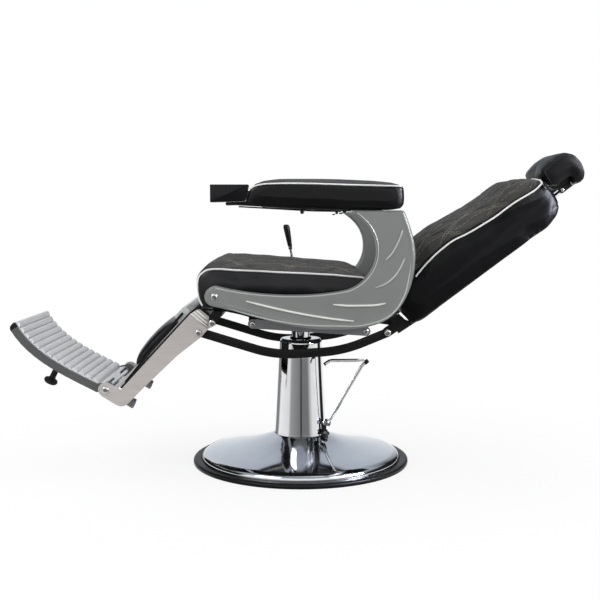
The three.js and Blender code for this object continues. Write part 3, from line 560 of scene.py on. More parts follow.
def build_base():
    rim = rounded([(298, 0), (329, 0), (330, 5), (329, 12), (322, 14.6), (306, 14.2), (304.6, 11), (298, 10)],
                  [1, 2, 2, 4, 4, 1, 0, 0])
    lathe("rim_rubber", rim, "rubber", "base", 200, ("base_rubber_rim",))
    top = rounded([(304, 11), (303.6, 21), (299, 28), (287, 33.5), (250, 41.8), (200, 52), (160, 61.3), (125, 71.3),
                   (98, 80.6), (80.8, 87.2)], [0, 6, 7, 9, 30, 30, 30, 25, 15, 0], 8, False)
    under = [(80.8, 84.8), (98, 78.2), (125, 68.9), (160, 58.9), (200, 49.6), (250, 39.4), (286, 31), (297, 26.5),
             (301.6, 20), (302, 11)]
    lathe("dome_polished", top + under, "dome", "base", 200, ("base_dome",))
    cover = rounded([(79, 91), (77.8, 108), (65, 372), (59, 380), (31, 380), (31, 377), (58, 377), (62, 369),
                     (74.6, 107), (76, 91)], [1, 30, 6, 2, 1, 1, 2, 3, 20, 1], steps=7)
    lathe("column_polished", cover, "chrome", "base", 180, ("column_cover",))
    seal = rounded([(28.4, 380.4), (32.5, 380.4), (32.5, 382.6), (31, 383.5), (28.4, 383.5)], [0, 0.6, 0.6, 0.6, 0.3])
    lathe("seal_ring", seal, "rubber_dull", "base", 120, ("piston_seal",))
    ram = [(0, 75), (26, 75), (28, 77), (28, 401), (20, 401), (20, 438), (0, 438)]
    lathe("ram_polished", ram, "chrome", "piston", 120, ("piston_rod",))
    boot = rounded([(10.4, 92), (13.5, 90), (14, 93), (12, 98), (10.4, 98)], 0.8)
    lathe("pedal_boot", boot, "rubber_dull", "base", 64, centre=(74, -50))
    foot = [(79.45, 92.4), (79.75, 85.6), (76.5, 85.6), (76.5, 92.4)]
    lathe("column_foot_collar", foot, "chrome", "base")


def build_pedal():
    body = "pump_pedal"
    rise = smooth_path([(88, -51, 136), (112, -54, 176), (148, -61, 240), (176, -68, 290), (183, -70, 302),
                        (192, -71, 312), (201, -72, 320)], 10, 0.4)
    tube("pedal_rod_polished", rise, 5.2, "chrome", body, 20, replaces=("pedal_rod",))
    bar = smooth_path([(190, -71.5, 320.5), (170, -75, 321.3), (120, -82, 321.8), (94, -86, 322.4), (83, -87.5, 319.4),
                       (71, -90, 311.5)], 10, 0.4)
    tube("pedal_toe_bar", bar, 5.0, "chrome", body, 20)
    cap = rise[-11:] + [rise[-1] + (rise[-1] - rise[-2]).normalized() * 1.5]
    tube("pedal_end_cap", cap, [5.7] + [6.5] * (len(cap) - 3) + [6.2, 4.6], "rubber_dull", body, 20)
    tip = bar[-3:] + [bar[-1] + (bar[-1] - bar[-2]).normalized() * 1.2]
    tube("pedal_bar_plug", tip, [5.3, 5.5, 5.5, 4.4], "rubber_dull", body, 20)
    for node in ("pump_clevis", "pedal_arm"):
        bevelled(node, "steel", 0.7)
    bevelled("pump_pivot_pin", "chrome", 0.8, 3)
    bevelled("pedal_collar", "dark_chrome", 0.8, 3)
    lean = Vector((0.52, -0.05, 0.85)).normalized()
    for k in (5, 9):
        ring = [Vector((75, -50, 118.6)) + lean * k + off for off in ring_about(lean, 12.15, 40)]
        tube("pedal_collar_ring_%d" % k, ring, 0.7, "steel", body, 8, True, slot="chrome")


def strip_outline(path, half):
    """The closed outline of a flat bar along a path of (x, z) points, with round ends."""
    pts = [Vector(p) for p in path]
    upper, lower = [], []
    for i, p in enumerate(pts):
        along = (pts[min(i + 1, len(pts) - 1)] - pts[max(0, i - 1)]).normalized()
        square = Vector((-along.y, along.x)) * half
        upper.append(tuple(p + square))
        lower.append(tuple(p - square))
    ends = []
    for end, inner in ((pts[-1], pts[-2]), (pts[0], pts[1])):
        out = (end - inner).normalized()
        start = math.atan2(out.y, out.x) + math.pi / 2
        arc = [start - math.pi * k / 12 for k in range(1, 12)]
        ends.append([(end.x + half * math.cos(t), end.y + half * math.sin(t)) for t in arc])
    return upper + ends[0] + lower[::-1] + ends[1]


def build_links():
    path = rounded([(-291.5, 419.5), (-74, 353), (120, 365), (249, 418)], [0, 62, 62, 0], 10, False)
    for side, s in SIDES:
        prism("link_bar_bent_%s" % side, strip_outline(path, 12.8), s * 179, s * 187, "steel", "recline_links",
              1.2, 3, ("link_bar_%s" % side,))


# ---------------------------------------------------------------- cushions
def evened(obj, field, rounds):
    """A vector for each vertex, averaged with its neighbours' in rounds, so that a taut cover has no crumples."""
    a, b = read(obj.data.edges, "vertices", 2, np.int32).T
    count = len(field)
    degree = np.maximum(np.bincount(a, minlength=count) + np.bincount(b, minlength=count), 1)
    for _ in range(rounds):
        total = np.column_stack([np.bincount(a, field[b, k], count) + np.bincount(b, field[a, k], count)
                                 for k in range(3)])
        field = 0.5 * field + 0.5 * total / degree[:, None]
    return field


def inflate(obj, cap):
    """Blow the cover up from inside with cloth simulation, no point moving more than cap millimetres."""
    rest, frames = coords(obj), 20
    cloth = modifier(obj, "CLOTH")
    cloth.settings.quality = 4
    cloth.settings.use_pressure = True
    cloth.settings.uniform_pressure_force = 4.0
    cloth.settings.effector_weights.gravity = 0.0
    cloth.collision_settings.use_collision = False
    cloth.point_cache.frame_start, cloth.point_cache.frame_end = 1, frames
    scene = bpy.context.scene
    for number in range(1, frames + 1):
        scene.frame_set(number)
        graph = bpy.context.evaluated_depsgraph_get()
        blown = obj.evaluated_get(graph)
    mesh = bpy.data.meshes.new_from_object(blown)
    step = read(mesh.vertices, "co") * 1000.0 - rest
    bpy.data.meshes.remove(mesh)
    obj.modifiers.clear()
    scene.frame_set(1)
    step *= np.minimum(1.0, cap / np.maximum(np.linalg.norm(step, axis=1), 1e-9))[:, None]
    set_coords(obj, rest + evened(obj, step, 16))


def cushion(name, rings, voxel, cap, body, nodes, look, soften=2):
    """A sewn cover: the formed shape is remeshed, blown up by simulation and made finer."""
    obj = weld(piece(name, skin(rings), look, None), 1e-6)
    modified(obj, "REMESH", mode="VOXEL", voxel_size=voxel * MM, use_smooth_shade=True)
    modified(obj, "SMOOTH", iterations=soften, factor=0.5)
    inflate(obj, cap)
    modified(obj, "SUBSURF", levels=1, render_levels=1)
    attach(obj, body)
    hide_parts(*nodes)
    return obj


def spread(half, rows, border, inner, edge):
    """For each row across a cushion: its place from -1 to 1, and how far the section draws in there."""
    for k in range(rows + 1):
        w = 2 * k / rows - 1
        yield w, inner + edge * max(0.0, abs(w) - border) / (1 - border)


def paint(obj, look, chosen):
    """Give the faces for which chosen(centres) is true a second material."""
    mesh = obj.data
    mesh.materials.append(M[look])
    flags = chosen(read(mesh.polygons, "center") * 1000.0)
    mesh.polygons.foreach_set("material_index", flags.astype(np.int32))
    mesh.update()


# the quilt's diamonds are this long and wide
LONG, WIDE = 148.0, 93.0


def quilt_depth(u, v):
    """How far the quilted cover lies below its plain crown: at the seams, and in the long folds between them."""
    scale = 1 / math.hypot(1 / LONG, 1 / WIDE)
    p, q = u / LONG + v / WIDE, u / LONG - v / WIDE
    gap = np.minimum(np.abs(p - np.round(p)), np.abs(q - np.round(q))) * scale
    folds = 0.5 + 0.5 * np.cos(2 * np.pi * (v / 36.0 + 0.16 * np.sin(u / 31.0) + 0.10 * np.sin(u / 13.0 + v / 40.0)))
    return 3.4 * ridge(gap, 11) - 2.2 * (1 - ridge(gap, 34)) + 2.4 * folds * (1 - 0.7 * ridge(gap, 16))


def fold_runs(u0, u1):
    """Wavy lengthwise lines in the long folds."""
    return [[(u, v0 - 5.8 * math.sin(u / 31.0)) for u in np.arange(u0, u1, 4.0)] for v0 in np.arange(-204, 204, 72.0)]


def diamond_runs(u0, u1, shift, reach_v):
    """The diamonds' lines cut to a rectangle, as lists of (u, v)."""
    runs = []
    reach = int(math.ceil(max(abs(u0), abs(u1)) / LONG + reach_v / WIDE)) + 1
    count = int((u1 - u0) / 2.0)
    for sign in (1, -1):
        for k in range(-reach, reach + 1):
            line = []
            for i in range(count + 1):
                u = u0 + (u1 - u0) * i / count
                v = sign * (k - u / LONG) * WIDE
                if abs(v) <= reach_v:
                    line.append((u + shift, v))
            if len(line) > 4:
                runs.append(line)
    return runs


def stitches(name, runs, place_on, body, offset=3.4, length=4.6, gap=1.7, thick=0.62):
    """Two rows of short raised stitches beside each run. place_on(u, v) gives (point, normal)."""
    verts, faces = [], []
    for run in runs:
        pts = np.array(run)
        dist = np.concatenate([[0], np.cumsum(np.hypot(*np.diff(pts, axis=0).T))])
        way = (pts[-1] - pts[0]) / max(1e-9, np.hypot(*(pts[-1] - pts[0])))
        for side in (-1, 1):
            s = 0.0
            while s + length < dist[-1]:
                ends = []
                for t in (s, s + length):
                    uv = np.array([np.interp(t, dist, pts[:, 0]), np.interp(t, dist, pts[:, 1])])
                    ends.append(place_on(*(uv + side * offset * np.array([-way[1], way[0]]))))
                s += length + gap
                if None in ends:
                    continue
                (a, na), (b, nb) = ends
                across = (b - a).normalized().cross(na).normalized()
                base = len(verts)
                for p, n in ((a, na), (b, nb)):
                    verts += [p + across * thick - n * 0.5, p - across * thick - n * 0.5,
                              p - across * thick * 0.5 + n * 0.45, p + across * thick * 0.5 + n * 0.45]
                faces += [tuple(base + i for i in f) for f in
                          ((0, 1, 2, 3), (7, 6, 5, 4), (0, 4, 5, 1), (1, 5, 6, 2), (2, 6, 7, 3), (3, 7, 4, 0))]
    return piece(name, (verts, faces), "thread", body, (), 60.0)


def laid_on(obj, start, toward, height, reach_v, u0, u1, pipe):
    """A function that puts (u, v) on the quilted face inside its piping, seen from a height above the face."""
    tree = surface_tree(obj)

    def place_on(u, v):
        if abs(v) > reach_v or not u0 < u < u1:
            return None
        hit, normal, _, _ = tree.ray_cast(start(u, v), toward)
        if hit is None or normal.dot(toward) > -0.25:
            return None
        level = height - (hit - start(u, v)).length
        return None if level < float(interp(u, pipe)) + 1.5 else (hit, normal)

    return place_on


# the seat's piping seen from the side, in X and Z
SEAT_PIPE = [(-293.0, 489.0), (-303.0, 516.0), (-305.6, 546.0), (-304.4, 577.0), (-297.0, 591.0), (-286.0, 599.4),
             (-268.0, 607.6), (-228.0, 610.9), (-146.0, 608.5), (-47.0, 603.5), (43.0, 599.4), (101.0, 595.3),
             (142.0, 590.3), (186.0, 585.2)]


def build_seat():
    half = 229.0
    crown = [(-305, 0), (-290, 7), (-270, 13), (-248, 22), (-221, 22.5), (-158, 21), (-51, 18), (47, 14.5), (132, 14),
             (168, 14), (188, 8), (199, 0)]
    rings = []
    for w, inset in spread(half, 46, 0.94, 5.0, 8.0):
        y = w * (half - 1.0)
        dome = 1 - abs(w) ** 5
        top = [(x + (inset if x < -280 else 0), y, z - inset + float(interp(x, crown)) * dome)
               for x, z in SEAT_PIPE[3:]]
        front = [(x + inset, y, max(z, 494.0)) for x, z in SEAT_PIPE[:3]]
        rear = [(194 - inset * 0.6, y, 572 - inset), (195 - inset * 0.6, y, 530), (190 - inset * 0.6, y, 489.5)]
        rings.append([(-288 + inset, y, 489.5)] + front + top + rear)
    obj = cushion("seat_upholstery", rings, 5.5, 8.0, "seat_carriage", ("seat_cushion",), "leather_gloss")
    x, y, z = coords(obj).T
    y = np.clip(pinched((x, z), SEAT_PIPE, y, half), -233, 233)
    line = interp(x, SEAT_PIPE[4:])
    top_face = (z > line - 4) & (np.abs(y) < half - 2)
    fade = fade_in(half - 4 - np.abs(y), 20) * fade_in(x + 298, 20) * fade_in(196 - x, 20) * fade_in(z - line + 6, 8)
    z = np.maximum(np.where(top_face, z - quilt_depth(x + 30, y) * fade, z), 488.3)
    set_coords(obj, np.column_stack([np.clip(x, -307.0, 197.0), y, z]))

    def quilted(c):
        x, y, z = c.T
        on_top = (z > interp(x, SEAT_PIPE[4:]) - 1.5) & (np.abs(y) < half - 1) & (x > -298)
        return on_top | ((x < -290) & (np.abs(y) < half - 5) & (z > 492))

    # the seat's quilted top takes the lighter copy of the quilted vinyl, painted light
    paint(obj, "quilt_seat_lit", quilted)
    tree = surface_tree(obj)
    for side, s in SIDES:
        path = onto(tree, smooth_path([(x0, s * (half + 0.5), z0) for x0, z0 in SEAT_PIPE], 8), 0.8)
        tube("seat_piping_%s" % side, softened(path), 2.7, "piping", "seat_carriage")
    place_on = laid_on(obj, lambda u, v: Vector((u, v, 720.0)), Vector((0, 0, -1)), 720.0, half - 6, -288, 183,
                       SEAT_PIPE[4:])
    stitches("seat_stitching", diamond_runs(-258, 213, -30, half - 6), place_on, "seat_carriage")
    stitches("seat_fold_stitching", fold_runs(-262, 180), place_on, "seat_carriage", 18.0, 9.0, 4.0, 0.8)


# the back's piping, and the crest of its quilted face, in the back's own frame
BACK_PIPE = [(100.0, 103.0), (112.7, 107.2), (150.6, 116.5), (180.1, 122.6), (203.7, 126.3), (226.3, 128.4),
             (248.0, 129.1), (269.7, 126.6), (291.3, 123.9), (323.7, 121.6), (357.0, 120.4), (385.4, 119.6),
             (411.8, 120.7), (450.8, 122.5), (474.9, 120.6), (494.8, 118.8), (515.3, 118.0), (532.8, 119.1),
             (544.9, 121.8), (550.5, 126.0)]
BACK_CREST = [(14, 62), (40, 94), (110, 134), (181, 161), (223, 165.5), (260, 165), (333, 158), (378, 156),
              (414, 155.1), (453, 159), (496, 161), (518, 155.7), (544, 143), (558, 130)]


def back_rear(a):
    """The rear face of the back, which tapers towards its top."""
    return -25 + (a - 13.5) * 0.06


def draw_in(a, m):
    """How far the sides of the back curve inwards towards its top end, below the piping."""
    share = min(1.0, max(0.0, a - 425) / 145.0)
    return 31.0 * share ** 2.0 * min(1.0, max(0.0, (128.0 - m) / 26.0))


def build_back():
    half = 230.0
    line = [(10, -20), (10, 20), (12, 58), (24, 80), (58, 94), (96, 101)] + BACK_PIPE[1:]
    top_end = [(557, 121), (567, 99), (574, 72), (572, 45), (564, 27), (546, 14), (505, 2), (476, 0)]
    rings = []
    for w, inset in spread(half, 50, 0.94, 5.0, 9.0):
        dome = 1 - abs(w) ** 4
        ring = []
        for a, m in line:
            lift = max(0.0, float(interp(a, BACK_CREST)) - m) * dome if a > 20 else 0.0
            ring.append((max(a, 10 + inset), m - inset + lift if m > 60 else m))
        ring += [(a - inset, m) for a, m in top_end]
        ring += [(a, back_rear(a) - 2) for a in (420, 320, 220, 120, 62)]
        rings.append([BACK.at(a, w * (half - 1.0 - draw_in(a, m)), m) for a, m in ring])
    obj = cushion("back_upholstery", rings, 5.5, 8.0, "backrest", ("back_cushion", "back_board"), "leather_back")
    a, y, m = BACK.local(coords(obj))
    y = np.clip(pinched((a, m), BACK_PIPE, y, half), -232, 232)
    pipe = interp(a, BACK_PIPE)
    top_face = (m > pipe - 4) & (np.abs(y) < half - 2) & (a > 40)
    fade = fade_in(half - 4 - np.abs(y), 20) * fade_in(a - 60, 30) * fade_in(550 - a, 18) * fade_in(m - pipe + 6, 8)
    m = np.maximum(np.where(top_face, m - quilt_depth(a - 248, y) * fade, m), back_rear(a) + 0.2)
    # the lower end stays clear of the seat, and of the hinge frame behind it
    m = np.where(a < 150, np.minimum(m, 103.5 + 0.37 * a), m)
    a = np.clip(a, 10.0, 576.0)
    m = np.where((a < 64) & (np.abs(y) < 181) & (m < 4), 4.0, m)
    # a stitched seam near the rear of the top end
    a = a - 1.3 * ridge(np.abs(m - 33 - 0.03 * np.abs(y)), 4.5) * fade_in(a - 520, 15)
    set_coords(obj, BACK.world(a, y, m))

    def quilted(c):
        a, y, m = BACK.local(c)
        return (m > interp(a, BACK_PIPE) - 1.5) & (np.abs(y) < half - 1) & (a > 30) & (a < 551)

    paint(obj, "quilt", quilted)
    tree = surface_tree(obj)
    corner = [(553.0, half - 3, 130.5), (552.5, half - 10, 133)]
    loop = [(a0, -half - 0.5, m0) for a0, m0 in BACK_PIPE] + [(a0, -y0, m0) for a0, y0, m0 in corner]
    loop += [(552.0, y0, 133 + 8 * (1 - abs(y0 / half) ** 2)) for y0 in np.linspace(-half + 30, half - 30, 17)]
    loop += corner[::-1] + [(a0, half + 0.5, m0) for a0, m0 in BACK_PIPE[::-1]]
    path = onto(tree, smooth_path([BACK.at(*p) for p in loop], 6), 0.9)
    tube("back_piping", softened(path), 2.4, "piping", "backrest")
    seam_line = [BACK.at(600, y0, 33 + 0.03 * abs(y0)) for y0 in np.linspace(-222, 222, 90)]
    tube("back_end_seam", softened(onto(tree, seam_line, 0.15)), 0.55, "thread", "backrest", 6)
    # a flat bezel round the headrest bar's slot
    outer = rounded([(-33, 27), (33, 27), (33, 45), (-33, 45)], 5.0, 5)
    inner = rounded([(-27.5, 31.2), (27.5, 31.2), (27.5, 40.4), (-27.5, 40.4)], 1.5, 5)
    rings = [[BACK.at(a0, y0, m0) for y0, m0 in ring]
             for ring, a0 in ((outer, 561.0), (outer, 565.6), (inner, 565.6), (inner, 561.0))]
    piece("headrest_bar_bezel", skin(rings, True), "steel", "backrest")
    place_on = laid_on(obj, lambda u, v: BACK.at(u, v, 300), BACK.at(0, 0, -1) - BACK.at(0, 0, 0), 300, half - 6, 66,
                       549, BACK_PIPE)
    stitches("back_stitching", diamond_runs(-190, 303, 248, half - 6), place_on, "backrest")
    stitches("back_fold_stitching", fold_runs(90, 545), place_on, "backrest", 18.0, 9.0, 5.0, 0.6)


def build_headrest():
    half = 108.0
    shape = [(600, 62.35), (650, 62.35), (653, 45), (662, 40.5), (679, 44), (692, 60), (697, 88), (691, 120),
             (673, 140.5), (654, 146.5), (620, 144.5), (590, 138.5), (578.5, 130), (579, 84)]
    crown = [0, 0, 0, 0, 0, 0, 1, 2, 4, 4.5, 6, 6, 5, 2]
    # the rear is flat where it rests on the hinge, and lobed beside it
    low = [62.35, 62.35, 62.35, 62.35, 62.35, 63.5]
    ca, cm = 637, 98
    rings = []
    for y in sorted([s * v for s in (-1, 1) for v in (108, 106, 102, 96, 88, 78, 70, 66.5, 63, 52, 38, 24, 10)]):
        draw = 1 - 0.03 - 0.045 * max(0.0, (abs(y) - 92) / 16) ** 2.2
        dome = 1 - abs(y / half) ** 4
        ring = []
        for k, (a, m) in enumerate(shape):
            if abs(y) < 65 and k < 6:
                m = low[k]
            elif k < 2:
                m = 73.0
            ring.append(BACK.at(ca + (a - ca) * draw, y, cm + (m + crown[k] * dome - cm) * draw))
        rings.append(ring)
    obj = cushion("headrest_upholstery", rings, 3.6, 5.0, "headrest", ("headrest_cushion",), "leather", 1)
    a, y, m = BACK.local(coords(obj))
    scale = 1 - 0.022 * ridge(np.abs(np.abs(y) - half + 7), 7)
    a, m = ca + (a - ca) * scale, cm + (m - cm) * scale
    m = m - 1.4 * ridge(np.abs(y), 4.5) * (m > 110)
    m = np.where((np.abs(y) < 65.3) | (a < 649), np.maximum(m, 62.4), m)
    y = np.where((m < 62) & (np.abs(y) < 67), np.sign(y) * 67, y)
    set_coords(obj, BACK.world(a, np.clip(y, -112, 112), np.maximum(m, 39.3)))
    tree = surface_tree(obj)
    for side, s in SIDES:
        loop = smooth_path([BACK.at(a0, s * (half - 5), m0) for a0, m0 in shape[3:]], 6)
        tube("headrest_piping_%s" % side, softened(onto(tree, loop, 0.5)), 1.7, "dark_piping", "headrest", 10)
        ring = smooth_path([BACK.at(ca + (a0 - ca) * 0.87, s * 118, cm + 1 + (m0 - cm) * 0.87)
                            for a0, m0 in shape[4:]], 6)
        tube("headrest_seam_%s" % side, softened(onto(tree, ring, 0.1)), 0.5, "dark_thread", "headrest", 8)
        screw("headrest_pin_screw_%s" % side, BACK.at(652, s * 63.05, 51.5), (0, s, 0), 5.6, 2.0, "headrest_slider")
        screw("headrest_boss_screw_%s" % side, BACK.at(616, s * 62.05, 50), (0, s, 0), 5.6, 2.0, "headrest")


# the arm pads' piping seen from the side
ARM_PIPE = [(-140.5, 829.5), (-134.0, 833.8), (-117.0, 837.1), (-93.0, 841.0), (-22.0, 843.0), (58.0, 841.8),
            (177.0, 838.7), (252.0, 836.4), (262.0, 836.0)]


def build_arm_pads():
    half = 37.5
    top = [(-141.5, 827, 0), (-128, 836.5, 5), (-100, 841, 9), (-60, 842.5, 12), (60, 842, 11.5), (180, 838.7, 10),
           (250, 836.5, 8), (272, 836, 3), (284, 830, 0)]
    rings = []
    for w, inset in spread(half, 18, 0.88, 3.5, 6.0):
        y = w * (half - 1)
        turn = max(0.0, abs(w) * half - 16.0) / 21.5
        back = 3.5 + 19.0 * (1 - math.sqrt(max(0.0, 1 - turn * turn)))
        ring = [(x + (inset if x < -120 else -back if x > 240 else 0), y, z - inset + lift * (1 - abs(w) ** 3))
                for x, z, lift in top]
        ring += [(286 - back, y, 800), (285 - back, y, 782), (276 - back, y, 770 + inset * 0.5)]
        ring += [(x, y, z + inset * 0.5) for x, z in ((134, 770), (0, 775), (-100, 780), (-133 + inset, 782))]
        rings.append(ring + [(-150 + inset, y, 790 + inset * 0.4)])
    first = None
    for side, s in SIDES:
        centre = 275.0 * s
        if first is None:
            obj = first = cushion("arm_pad_cover_left", rings, 4.0, 5.0, "seat_carriage", ("arm_pad_left",),
                                  "leather_pad", 1)
            x, y, z = coords(first).T
            y = pinched((x, z), ARM_PIPE, y, half, 7, 1, 10, 1.3)
            z = np.maximum(z, np.interp(x, [-152, -132, 134, 262], [790.0, 781.0, 768.6, 766.6]))
            base = np.column_stack([np.clip(x, -153, 286.5), np.clip(y, -39, 39), z])
            set_coords(first, base + [0, centre, 0])
        else:
            mesh = first.data.copy()
            obj = place("arm_pad_cover_right", mesh, None, "seat_carriage", "upholstery", ("arm_pad_right",))
            set_coords(obj, base * [1, -1, 1] + [0, centre, 0])
            mesh.flip_normals()
        near, far = ([(x0, centre + t * (half + 0.5), z0) for x0, z0 in ARM_PIPE] for t in (-1, 1))
        rear = [(x0, centre + half * t, 835)
                for x0, t in ((273, -0.84), (280, -0.5), (282, 0), (280, 0.5), (273, 0.84))]
        front = [(x0, centre + half * t, 829) for x0, t in ((-143, 0.5), (-144, 0), (-143, -0.5))]
        loop = smooth_path(near + rear + far[::-1] + front, 6, closed=True)
        path = softened(onto(surface_tree(obj), loop, 0.7), True)
        tube("arm_pad_piping_%s" % side, path, 2.2, "piping", "seat_carriage", 10, True)


def build_calf():
    half = 180.0
    crest = [(-253, 74), (-250, 84), (-240, 93), (-215, 101), (-180, 105), (-140, 105), (-105, 101), (-80, 93),
             (-70, 82), (-69, 74)]
    rings = []
    for w, _ in spread(half, 34, 0.5, 0.0, 0.0):
        dome = 1 - 0.55 * abs(w) ** 5
        rings.append([LEG.at(-161 + (a + 161) * 0.965, w * half, 72.6 + (n - 74) * 0.86 * dome + 1)
                      for a, n in crest])
    obj = cushion("calf_upholstery", rings, 4.5, 5.0, "legrest", ("calf_cushion",), "leather_gloss")
    a, y, n = LEG.local(coords(obj))
    set_coords(obj, LEG.world(np.clip(a, -252, -66.5), np.clip(y, -184, 184), np.maximum(n, 71.7)))


# ---------------------------------------------------------------- arms
def arm_outline():
    pts, start = [], (-232, 557.5)
    for p1, p2, end, count in (
            ((-130, 530), (20, 525), (116, 545), 34), ((160, 551), (209, 595), (209, 655), 16),
            ((209, 705), (180, 741), (136, 766), 16), (None, None, (273, 766), 12),
            ((278.3, 766), (282.2, 763), (284.5, 757), 5), ((301, 716), (313, 680), (313, 640), 12),
            ((313, 570), (285, 492), (228, 463), 20), ((185, 440), (110, 437), (41, 442), 18),
            ((-50, 450), (-115, 473), (-186, 492), 22), (None, None, (-246, 505.5), 6)):
        if p1:
            pts += bezier(start, p1, p2, end, count)
        else:
            pts += [tuple(a + (b - a) * k / count for a, b in zip(start, end)) for k in range(count)]
        start = end
    for k in range(16):
        t = -1.92 + (1.4 + 1.92 - 2 * math.pi) * k / 16
        pts.append((-237 + 27 * math.cos(t), 531 + 27 * math.sin(t)))
    return pts


# raised lines across the face of a cast arm, and the bead along its border
ARM_CRESTS = [[(-149, 519), (-80, 502), (-7, 486), (70, 473), (145, 464)],
              [(89, 510), (125, 507), (158, 507), (200, 508), (232, 513)],
              [(204, 556), (230, 566), (253, 584), (270, 608), (283, 636)],
              [(231, 631), (247, 648), (259, 668), (269, 690), (276, 712)]]
ARM_BEAD = [(-191.4, 497.8), (-169.3, 490.1), (-125, 478.2), (-56.7, 463.1), (23.6, 452.5), (102.2, 450.5),
            (162.9, 451.5), (223.9, 468), (260.3, 495), (284.0, 537.2), (293.5, 576.1), (299.0, 609.9), (300.5, 640)]


def build_arms():
    outline = arm_outline()
    n = len(outline)
    closed_line = outline + [outline[0]]
    step = 3.4
    gx, gz = np.meshgrid(np.arange(-262, 314, step), np.arange(438, 766, step))
    cloud = np.column_stack([gx.ravel(), gz.ravel()])
    gap = nearest_band(cloud, closed_line)[0]
    cloud = cloud[point_in(cloud, np.array(outline)) & (gap > step * 0.75)]
    verts2d = [Vector(p) for p in outline] + [Vector(p) for p in cloud]
    made, _, faces, _, _, _ = delaunay_2d_cdt(verts2d, [(i, (i + 1) % n) for i in range(n)], [], 1, 1e-5)
    points = np.array([tuple(p) for p in made])
    gap = nearest_band(points, closed_line)[0]
    # the rounded edge, the bead inside it, and the crests
    height = np.sqrt(np.maximum(0.0, 25.0 - (5.0 - np.minimum(gap, 5.0)) ** 2)) - 5.0
    face = height + 1.4 * ridge(np.abs(gap - 9.5), 5.0) * np.where(outer_edge(points), 1.0, 0.0)
    for crest in ARM_CRESTS:
        dense = [tuple(p)[:2] for p in smooth_path([(x, z, 0) for x, z in crest], 8)]
        d, along, total = nearest_band(points, dense)
        taper = np.clip(np.minimum(along, total - along) / 26, 0.12, 1)
        face = face + 2.2 * ridge(d, 5.2 * (0.5 + 0.5 * taper)) * taper
    face = np.where(points[:, 1] > 752, np.minimum(face, 0), face)
    count = len(points)
    walls = [(a, b, count + b, count + a) for a, b in boundary(faces)]
    both = [tuple(f) for f in faces] + [tuple(count + i for i in f[::-1]) for f in faces] + walls
    for side, s in SIDES:
        verts = np.vstack([np.column_stack([points[:, 0], s * y, points[:, 1]])
                           for y in (305.0 + face, 245.0 - height)])
        piece("arm_casting_%s" % side, (verts, both), "arm", "seat_carriage", ("arm_frame_%s" % side,), 62.0)
        screw("arm_screw_%s" % side, (-237, s * 305, 531), (0, s, 0), 9.5, 4.5, "seat_carriage")
        arm_lines(side, s)
    tip = rounded([(-246, 788), (-151.8, 791), (-142.2, 836), (-246, 836)], 2.0)
    for side, s in SIDES:
        prism("arm_tip_%s" % side, tip, s * 246, s * 304, "gloss", "seat_carriage", 2.0, 3,
              ("arm_tip_block_%s" % side,))


def arm_lines(side, s):
    """The raised lines of the casting, coloured lighter than its face as painted highlights."""
    body = "seat_carriage"
    bead = smooth_path([(x, s * 304.9, z) for x, z in ARM_BEAD], 8)
    last = len(bead) - 1
    grow = [2.2 * min(1.0, 0.25 + k / 20.0, (last - k) / 22.0 + 0.12) for k in range(last + 1)]
    tube("arm_bead_%s" % side, bead, grow, "arm_edge_highlight", body, 10)
    # a thin painted highlight line along the inner edge of the casting
    line = bezier((-234, 555.2), (-130, 528.2), (20, 523), (116, 542.7), 30)
    line += bezier((116, 542.7), (161, 549), (211.6, 594), (211.6, 655), 16)
    line += bezier((211.6, 655), (211.6, 706), (183, 741), (146, 763.5), 16)
    tube("arm_edge_line_%s" % side, [(x, s * 304.4, z) for x, z in line], 1.5, "arm_edge_highlight", body, 10)
    for k, crest in enumerate(ARM_CRESTS):
        path = smooth_path([(x, s * 306.9, z) for x, z in crest], 8)
        last = len(path) - 1
        # the two lower crests take the brighter painted highlight, the two upper ones the dimmer one
        wide, end, look = (2.7, 0.55, "arm_crest_highlight") if k < 2 else (2.2, 0.75, "arm_edge_highlight")
        size = [wide * min(1.0, 0.55 + i / 8.0, end + (last - i) / 8.0) for i in range(last + 1)]
        tube("arm_crest_%d_%s" % (k, side), path, size, look, body)
    joint = [(-195.5, s * 305.0, 506 + 3.0 * k) for k in range(10)]
    tube("arm_joint_line_%s" % side, joint, 0.5, "side_bar", body, 6)


def outer_edge(points):
    """True where the cast border bead runs: down the rear, along the underside and up the front nose."""
    x, z = points.T
    middle = np.interp(x, [-264, -186, -50, 41, 140, 209, 262], [531, 524, 495, 490, 498, 540, 640])
    return ((z < middle) & (x > -205)) | (x > 262) | ((x > 235) & (z < 640))


def point_in(points, ring):
    """True for the points inside a closed outline."""
    inside = np.zeros(len(points), bool)
    x, z = points.T
    for (x0, z0), (x1, z1) in zip(ring, np.roll(ring, -1, axis=0)):
        if z0 != z1:
            inside ^= ((z0 > z) != (z1 > z)) & (x < (x1 - x0) * (z - z0) / (z1 - z0) + x0)
    return inside


def boundary(faces):
    """The edges that only one face has."""
    seen = {edge: None for f in faces for edge in zip(f, f[1:] + f[:1])}
    return [(a, b) for a, b in seen if (b, a) not in seen]


